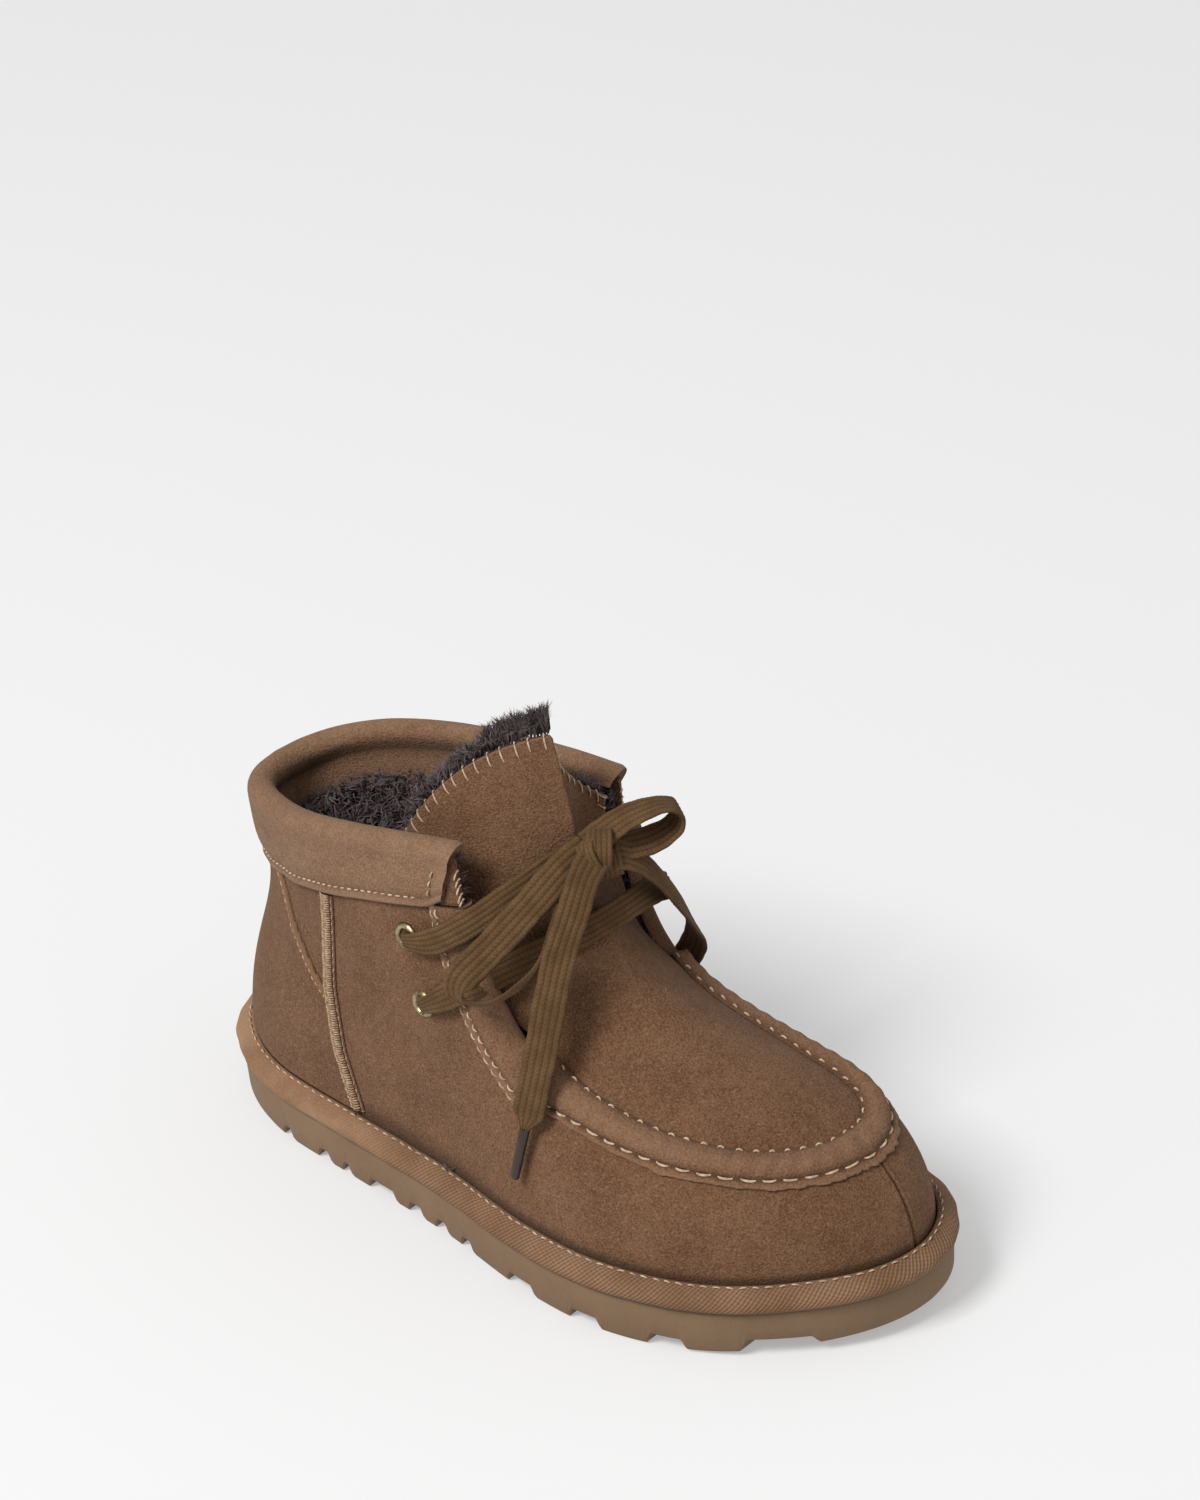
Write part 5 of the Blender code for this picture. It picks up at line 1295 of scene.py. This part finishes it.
# The rand. A padded band of the same trim, covered with fine diagonal twill towards the
# toe, is sewn to the wall with a row of short pale stitches and cemented on the outsole.
RAND_BULGE = 0.0020
TWILL_PITCH = 0.0015
TWILL_START, TWILL_FADE = 0.22, 0.25
rand_twill = Finish("rand_twill", TRIM, 0.9, sheen=0.05, specular=0.10)
cloud = rand_twill.noise(0.015, 3.0)
nap = rand_twill.noise(0.0007, 2.0)
base = rand_twill.mix(cloud.above(0.35, 0.65) * 0.55 + nap.above(0.35, 0.7) * 0.35, (0.200, 0.108, 0.058),
                      (0.345, 0.208, 0.124))
twill = (rand_twill.shade("run") + rand_twill.shade("round") * 1.1).wave()
cross = (rand_twill.shade("run") * 0.5 - rand_twill.shade("round") * 1.6).wave()
front = rand_twill.shade("front")
weave = twill * 0.75 + cross * 0.25
base = rand_twill.mix((1 - weave) * front * 0.75, base, (0.090, 0.045, 0.022))
# Painted shadow darkens the rand where it meets the outsole and where it tucks under the wall.
rand_twill.colour(rand_twill.mix(rand_twill.shade("painted_shade"), base, (0.060, 0.034, 0.018)))
rand_twill.bump(weave * front * 0.9 + nap * 0.5, 0.0003)
tall = RAND_HEIGHT
rand_profile = [(-RAND_INSET, 0.0), (-0.0006, 0.0), (RAND_BULGE * 0.55, tall * 0.06),
                (RAND_BULGE * 0.95, tall * 0.22), (RAND_BULGE * 1.0, tall * 0.38),
                (RAND_BULGE * 0.65, tall * 0.56), (-RAND_INSET * 0.10, tall * 0.72),
                (-RAND_INSET * 0.42, tall * 0.84), (-RAND_INSET * 0.72, tall * 0.92),
                (-RAND_INSET * 0.92, tall * 0.92), (-RAND_INSET * 1.05, tall * 0.80)]
rand_rings = np.linspace(0, 2, 521)
rand_points, rand_run, rand_round, rand_front, rand_shade = [], [], [], [], []
edge_line = np.array([outline(ring, 0.0) for ring in rand_rings])
edge_reach = lengths_along(edge_line)
for ring, reach in zip(rand_rings, edge_reach):
    turn = 1 - abs(1 - ring)
    lift = float(spring(station_at(turn), TOP_SPRING))
    wobble = 0.00018 * math.sin(reach * 260) + 0.00012 * math.sin(reach * 610 + 1)
    for k, (outset, level) in enumerate(rand_profile):
        edge = outline(ring, outset + (wobble if 2 < k < 8 else 0))
        rand_points.append((*edge, FOOT_LEVEL - SUNK + level + lift))
        rand_run.append(reach / TWILL_PITCH)
        rand_round.append(k * 0.85)
        rand_front.append(float(eased((station_at(turn) - TWILL_START) / TWILL_FADE)))
        # Painted shadow line at the rand's foot and under its tucked top edge.
        rand_shade.append(0.85 if k in (0, 1, 10) else 0.0)
count, around = len(rand_rings), len(rand_profile)
piece("rand_band", rand_points, grid_faces(count, around, closed_columns=True), rand_twill,
      ("rand",), divide=1, shades={"run": rand_run, "round": rand_round, "front": rand_front,
                                                 "painted_shade": rand_shade})
sewn, normals = [], []
for ring in rand_rings:
    lift = float(spring(station_at(1 - abs(1 - ring)), TOP_SPRING))
    sewn.append((*outline(ring, -RAND_INSET * 0.62), FOOT_LEVEL + tall * 0.905 + lift))
    out = outline(ring, 1.0) - outline(ring, 0.0)
    normals.append(unit(np.array((out[0] * 0.55, out[1] * 0.55, 0.85))))
stitches("rand_stitches", sewn_line(sewn, normals, length=0.0022, gap=0.0017, radius=0.00028,
                                    rise=0.00030, seed=71, sway=0.0002))

# The outsole. A slab of light foamed rubber with a plain upright edge, its underside cut
# straight across into lugs; it lifts a little at the toe and under the inner arch.
TREAD_DEPTH = 0.0035
ARCH_RISE = 0.0012
LUG_GAP_ROWS = [
    (0.162, 0.180), (0.228, 0.250), (0.272, 0.287), (0.320, 0.367), (0.390, 0.415), (0.438, 0.460),
    (0.485, 0.507), (0.574, 0.618), (0.676, 0.717), (0.779, 0.820), (0.879, 0.941),
]
foam_rubber = Finish("foam_rubber", (0.190, 0.118, 0.066), 0.62, specular=0.2)
cloud = foam_rubber.noise(0.030, 3.0)
speck = foam_rubber.noise(0.0009, 2.0)
tone = foam_rubber.mix(cloud.above(0.3, 0.7), (0.174, 0.107, 0.060), (0.210, 0.133, 0.077))
tone = foam_rubber.mix(speck.above(0.55, 0.75) * 0.25, tone, (0.120, 0.074, 0.040))
# Darker with painted shade along the edges the mesh marks.
foam_rubber.colour(foam_rubber.mix(foam_rubber.shade("painted_shade"), tone, (0.070, 0.048, 0.030)))
foam_rubber.rough(foam_rubber.noise(0.004) * 0.25 + 0.52)
foam_rubber.bump(speck * 0.7 + foam_rubber.noise(0.0045) * 0.5, 0.00022)


def tread_height(along, inner_share):
    """Underside of the outsole: flat on its lugs, raised between them."""
    station = along / LENGTH
    waist = max(0.0, 1 - ((station - 0.42) / 0.12) ** 2)
    level = float(spring(station, TOE_SPRING)) + ARCH_RISE * waist * inner_share
    slope = TREAD_DEPTH * 0.4 / LENGTH
    cut = 0.0
    for start, end in LUG_GAP_ROWS:
        middle = float(spring((start + end) / 2, TOE_SPRING)) + TREAD_DEPTH
        rise = min((station - start) / slope, (end - station) / slope)
        share = float(eased((rise + 0.6) / 1.6))
        cut = max(cut, share * max(0.0, middle - level))
    return level + cut


stations = set(np.linspace(0, 1, 150).tolist())
for edge_station in sum(LUG_GAP_ROWS, ()):
    stations.update(np.linspace(edge_station - 0.007, edge_station + 0.007, 11).tolist())
turns = sorted({turn_at(min(max(v, 0.0), 1.0)) for v in stations} | set(np.linspace(0, 0.12, 16).tolist())
               | set(np.linspace(0.88, 1.0, 16).tolist()))
sole_rings = [-turn for turn in turns] + turns[-2:0:-1]
sole_points, sole_shade = [], []
SOLE_SIDE = [(0.0, -0.0010), (0.10, -0.0002), (0.45, 0.0), (0.92, 0.0), (1.0, -0.0004), (1.0, -0.0060)]
for height_share, outset in SOLE_SIDE:
    for ring in sole_rings:
        edge = outline(ring, outset)
        low = tread_height(plain_outline(ring)[0], 1.0 if ring > 0 else 0.0)
        top = OUTSOLE_THICKNESS + float(spring(station_at(abs(ring)), TOP_SPRING))
        sole_points.append((*edge, low + (top - low) * height_share))
        # Painted shade darkens the top edge under the rand's overhang and, more lightly, the bottom edge at
        # the floor.
        sole_shade.append(0.30 if height_share == 0.0 else 0.7 if height_share == 1.0 else 0.0)
count = len(sole_rings)
faces = grid_faces(len(SOLE_SIDE), count, closed_columns=True)
half = count // 2
for base, flip in ((0, 1), ((len(SOLE_SIDE) - 1) * count, -1)):
    cap = [(base, base + 1, base + count - 1)]
    cap += [(base + j, base + j + 1, base + count - j - 1, base + count - j) for j in range(1, half - 1)]
    cap.append((base + half - 1, base + half, base + half + 1))
    faces += [face[::flip] for face in cap]
sole_piece = piece("outsole_slab", sole_points, faces, foam_rubber, ("outsole",),
                   shades={"painted_shade": sole_shade})
crisp = sole_piece.modifiers.new("split", "EDGE_SPLIT")
crisp.split_angle = math.radians(40)

# The eyelets. Antique brass, a domed rim rolled over on the suede and a barrel through it.
EYELET_ROWS = [("lower", 0.428, 0.590), ("upper", 0.406, 0.748)]
EYELET_DIAMETER, EYELET_BORE = 0.0094, 0.0052
EYELET_SIDES = 48
antique_brass = Finish("antique_brass_rim", (0.360, 0.290, 0.160), 0.35, metallic=1.0, specular=0.5)
tarnish = antique_brass.noise(0.0022, 3.0)
antique_brass.colour(antique_brass.mix(tarnish.above(0.40, 0.68), (0.430, 0.350, 0.200),
                                       (0.130, 0.100, 0.055)))
antique_brass.rough(tarnish * 0.35 + 0.18)
antique_brass.bump(antique_brass.noise(0.0006), 0.00006)
bore, outer_radius = EYELET_BORE / 2, EYELET_DIAMETER / 2
rim_profile = [(bore, -0.0034), (bore - 0.0001, -0.0006), (bore, 0.0004), (bore + 0.0004, 0.0011),
               (bore + 0.0010, 0.0014), (outer_radius - 0.0006, 0.0011), (outer_radius - 0.0001, 0.0006),
               (outer_radius, 0.0002), (outer_radius - 0.0003, 0.0), (bore + 0.0005, 0.0),
               (bore + 0.0004, -0.0034)]
for side, word in ((-1, "lateral"), (1, "medial")):
    for level_word, along, up in EYELET_ROWS:
        ring, level = wall_spot(side, along * LENGTH, up * COLLAR_HEIGHT)
        centre, axis = on_wall(ring, level)
        flat = unit(np.cross(axis, (0, 0, 1)))
        upright = np.cross(flat, axis)
        angles = [2 * math.pi * k / EYELET_SIDES for k in range(EYELET_SIDES)]
        points = [centre + axis * z + (flat * math.cos(angle) + upright * math.sin(angle)) * radius
                  for radius, z in rim_profile for angle in angles]
        faces = grid_faces(len(rim_profile), EYELET_SIDES, closed_rows=True, closed_columns=True)
        piece(f"eyelet_rim_{level_word}_{word}", points, faces, antique_brass,
              (f"eyelet_{level_word}_{word}",))

# The fleece. The boot is lined with dense dark brown fleece; it shows inside the collar
# below the folded suede, past the tongue's edges, and as the footbed.
FLEECE_ROOT = (0.032, 0.021, 0.022)
FLEECE = (0.098, 0.069, 0.071)
# FLEECE_TIP is a painted highlight on the pile's tips.
FLEECE_TIP = (0.170, 0.127, 0.125)
fleece = Finish("fleece_pile", FLEECE, 0.95, sheen=0.1, specular=0.05)
curl = fleece.noise(0.0042, 3.0)
fleece.colour(fleece.mix(curl.above(0.36, 0.66), FLEECE_ROOT, FLEECE))
fleece.bump(curl + fleece.noise(0.0012) * 0.5, 0.0014)
fleece_hair = Finish("fleece_hair", FLEECE, 0.85, sheen=0.1, specular=0.1)
hair_tone = fleece_hair.mix(fleece_hair.noise(0.005, 2.0).above(0.35, 0.65), FLEECE_ROOT, FLEECE)
# The pile is paler towards its tips: a painted highlight.
fleece_hair.colour(fleece_hair.mix(fleece_hair.shade("tip"), hair_tone, FLEECE_TIP))
BLADE_WIDTH = 0.00032
CLUMPS = np.array(((900, 310, 520), (-350, 840, 260), (420, -500, 780)))


def pile(name, spots, seed, length, lean, spread):
    """Tufts of curly pile: thin bent blades, one for each spot and outward direction."""
    draw = np.random.default_rng(seed)
    points, faces, tips = [], [], []
    for spot, out in spots:
        swirl = np.sin(np.asarray(spot) @ CLUMPS.T + CLUMPS[:, 0])
        out = unit(unit(out) + swirl * spread + draw.normal(0, spread * 0.30, 3))
        bend = unit(np.cross(out, draw.normal(0, 1, 3)))
        side = unit(np.cross(out, bend)) * BLADE_WIDTH * draw.uniform(0.7, 1.3)
        long = length * draw.uniform(0.6, 1.15)
        base = len(points)
        for share in (0.0, 0.35, 0.7):
            middle = spot + out * long * share + bend * long * lean * share ** 2
            thin = 1 - 0.55 * share
            points += [middle - side * thin, middle + side * thin]
            tips += [share * 0.6, share * 0.6]
        points.append(spot + out * long * 0.92 + bend * long * lean * 1.5)
        tips.append(0.9)
        faces += [(base, base + 1, base + 3, base + 2), (base + 2, base + 3, base + 5, base + 4),
                  (base + 4, base + 5, base + 6)]
    return piece(name, points, faces, fleece_hair, shades={"tip": tips})


lining_points = []
lining_levels = np.linspace(0.0, 0.97, 46)
lining_rings = np.linspace(-1, 1, 261)[:-1]
for ring in lining_rings:
    for level in lining_levels:
        ruffle = 0.0007 * math.sin(ring * 190 + level * 33) * math.sin(level * 60 + ring * 40)
        lining_points.append(on_wall(ring, level, -WALL - 0.0001 + ruffle)[0])
piece("fleece_lining", lining_points,
      grid_faces(len(lining_rings), len(lining_levels), closed_rows=True), fleece)

# Pile inside the collar, below the folded suede, and along the facings.
COLLAR_TUFTS, FACING_TUFTS = 17000, 2600
draw = np.random.default_rng(11)
spots = []
for _ in range(COLLAR_TUFTS):
    ring = draw.uniform(-CORNER - 0.03, CORNER + 0.03)
    top = 1 - (CUFF_INNER_DEPTH - 0.0050) / wall_height(ring)
    level = draw.uniform(0.30, top)
    spot, normal = on_wall(ring, level, -WALL - 0.0012)
    spots.append((spot, -normal + np.array((0, 0, 0.45))))
pile("collar_fleece", spots, seed=12, length=0.0056, lean=0.45, spread=0.45)
spots = []
for side in (-1, 1):
    for _ in range(FACING_TUFTS):
        turn = draw.uniform(CORNER - 0.06, THROAT)
        level = draw.uniform(0.55, 0.985)
        spot, normal = on_wall(side * turn, level, -WALL - 0.0001)
        spots.append((spot, -normal + np.array((0.3, 0, 0.1))))
pile("facing_fleece", spots, seed=13, length=0.0034, lean=0.4, spread=0.4)

# Pile on the tongue's back, past its sewn edges and in a tuft at its peak. None grows close
# to the ridge, where it would poke through the folded suede.
BACK_TUFTS, EDGE_TUFTS, PEAK_TUFTS = 9000, 3800, 1300
TOP_SHARE = 0.62
back_points = tongue_back - tongue_normals * 0.0008
count, around = back_points.shape[:2]
coarse = back_points[::2, ::2]
piece("tongue_fleece", coarse.reshape(-1, 3), grid_faces(*coarse.shape[:2]), fleece)
spots = []
for _ in range(BACK_TUFTS):
    i, c = draw.uniform(40, count - 1.001), draw.uniform(0, around - 1.001)
    if abs(c - RIDGE) < 9:
        continue
    spot = back_points[int(i), int(c)]
    spots.append((spot + draw.normal(0, 0.0006, 3), -tongue_normals[int(i), int(c)]))
pile("tongue_back_fleece", spots, seed=14, length=0.0042, lean=0.4, spread=0.4)
spots = []
for _ in range(EDGE_TUFTS):
    share = draw.uniform(0, 1)
    if share < TOP_SHARE:
        c = draw.uniform(0, 46)
        i = count - 1
        inward = tongue_face[i - 6, int(c)] - tongue_face[i, int(c)]
    else:
        i, c = int(draw.uniform(64, count - 1)), 0
        inward = tongue_face[i, 6] - tongue_face[i, 0]
    spot = back_points[i, int(c)] - tongue_normals[i, int(c)] * draw.uniform(0.0, 0.0035)
    peak = math.exp(-((c - 44) / 12) ** 2) if i == count - 1 else 0
    spots.append((spot, -unit(inward) * (1.0 + 0.6 * peak)
                  - tongue_normals[i, int(c)] * draw.uniform(0, 0.9)))
pile("tongue_edge_fleece", spots, seed=15, length=0.0062, lean=0.35, spread=0.5)
spots = []
i = count - 1
for _ in range(PEAK_TUFTS):
    c = int(draw.uniform(30, 47))
    spot = back_points[i, c] - tongue_normals[i, c] * draw.uniform(0.0, 0.0040)
    spots.append((spot, -unit(tongue_face[i - 6, c] - tongue_face[i, c]) - tongue_normals[i, c] * 0.3))
pile("tongue_peak_fleece", spots, seed=17, length=0.0085, lean=0.25, spread=0.25)

# The footbed, a soft insole covered with the same fleece; pile grows where it can be seen.
BED_ROWS, BED_COLUMNS = 110, 15
BED_TUFTS = 5200
inset = -(FEATHER_INSET + WALL)
bed_points = []
for turn in np.linspace(0.01, 0.99, BED_ROWS):
    a, b = outline(-turn, inset), outline(turn, inset)
    for share in np.linspace(0, 1, BED_COLUMNS):
        spot = a * (1 - share) + b * share
        hollow = 0.0012 * (1 - (2 * share - 1) ** 2)
        ruffle = 0.0005 * math.sin(spot[0] * 900 + share * 20) * math.sin(share * 31 + spot[0] * 400)
        bed_points.append((*spot, FOOT_LEVEL + 0.0048 - hollow + ruffle
                           + float(spring(station_at(turn), TOP_SPRING))))
piece("fleece_footbed", bed_points, grid_faces(BED_ROWS, BED_COLUMNS), fleece, ("insole",))
spots = []
for _ in range(BED_TUFTS):
    k = int(draw.integers(0, BED_ROWS * 6 // 10)) * BED_COLUMNS + int(draw.integers(0, BED_COLUMNS))
    spots.append((np.array(bed_points[k]) + draw.normal(0, 0.0012, 3) * np.array((1, 1, 0)),
                  np.array((0, 0, 1.0))))
pile("footbed_fleece", spots, seed=16, length=0.0038, lean=0.5, spread=0.5)
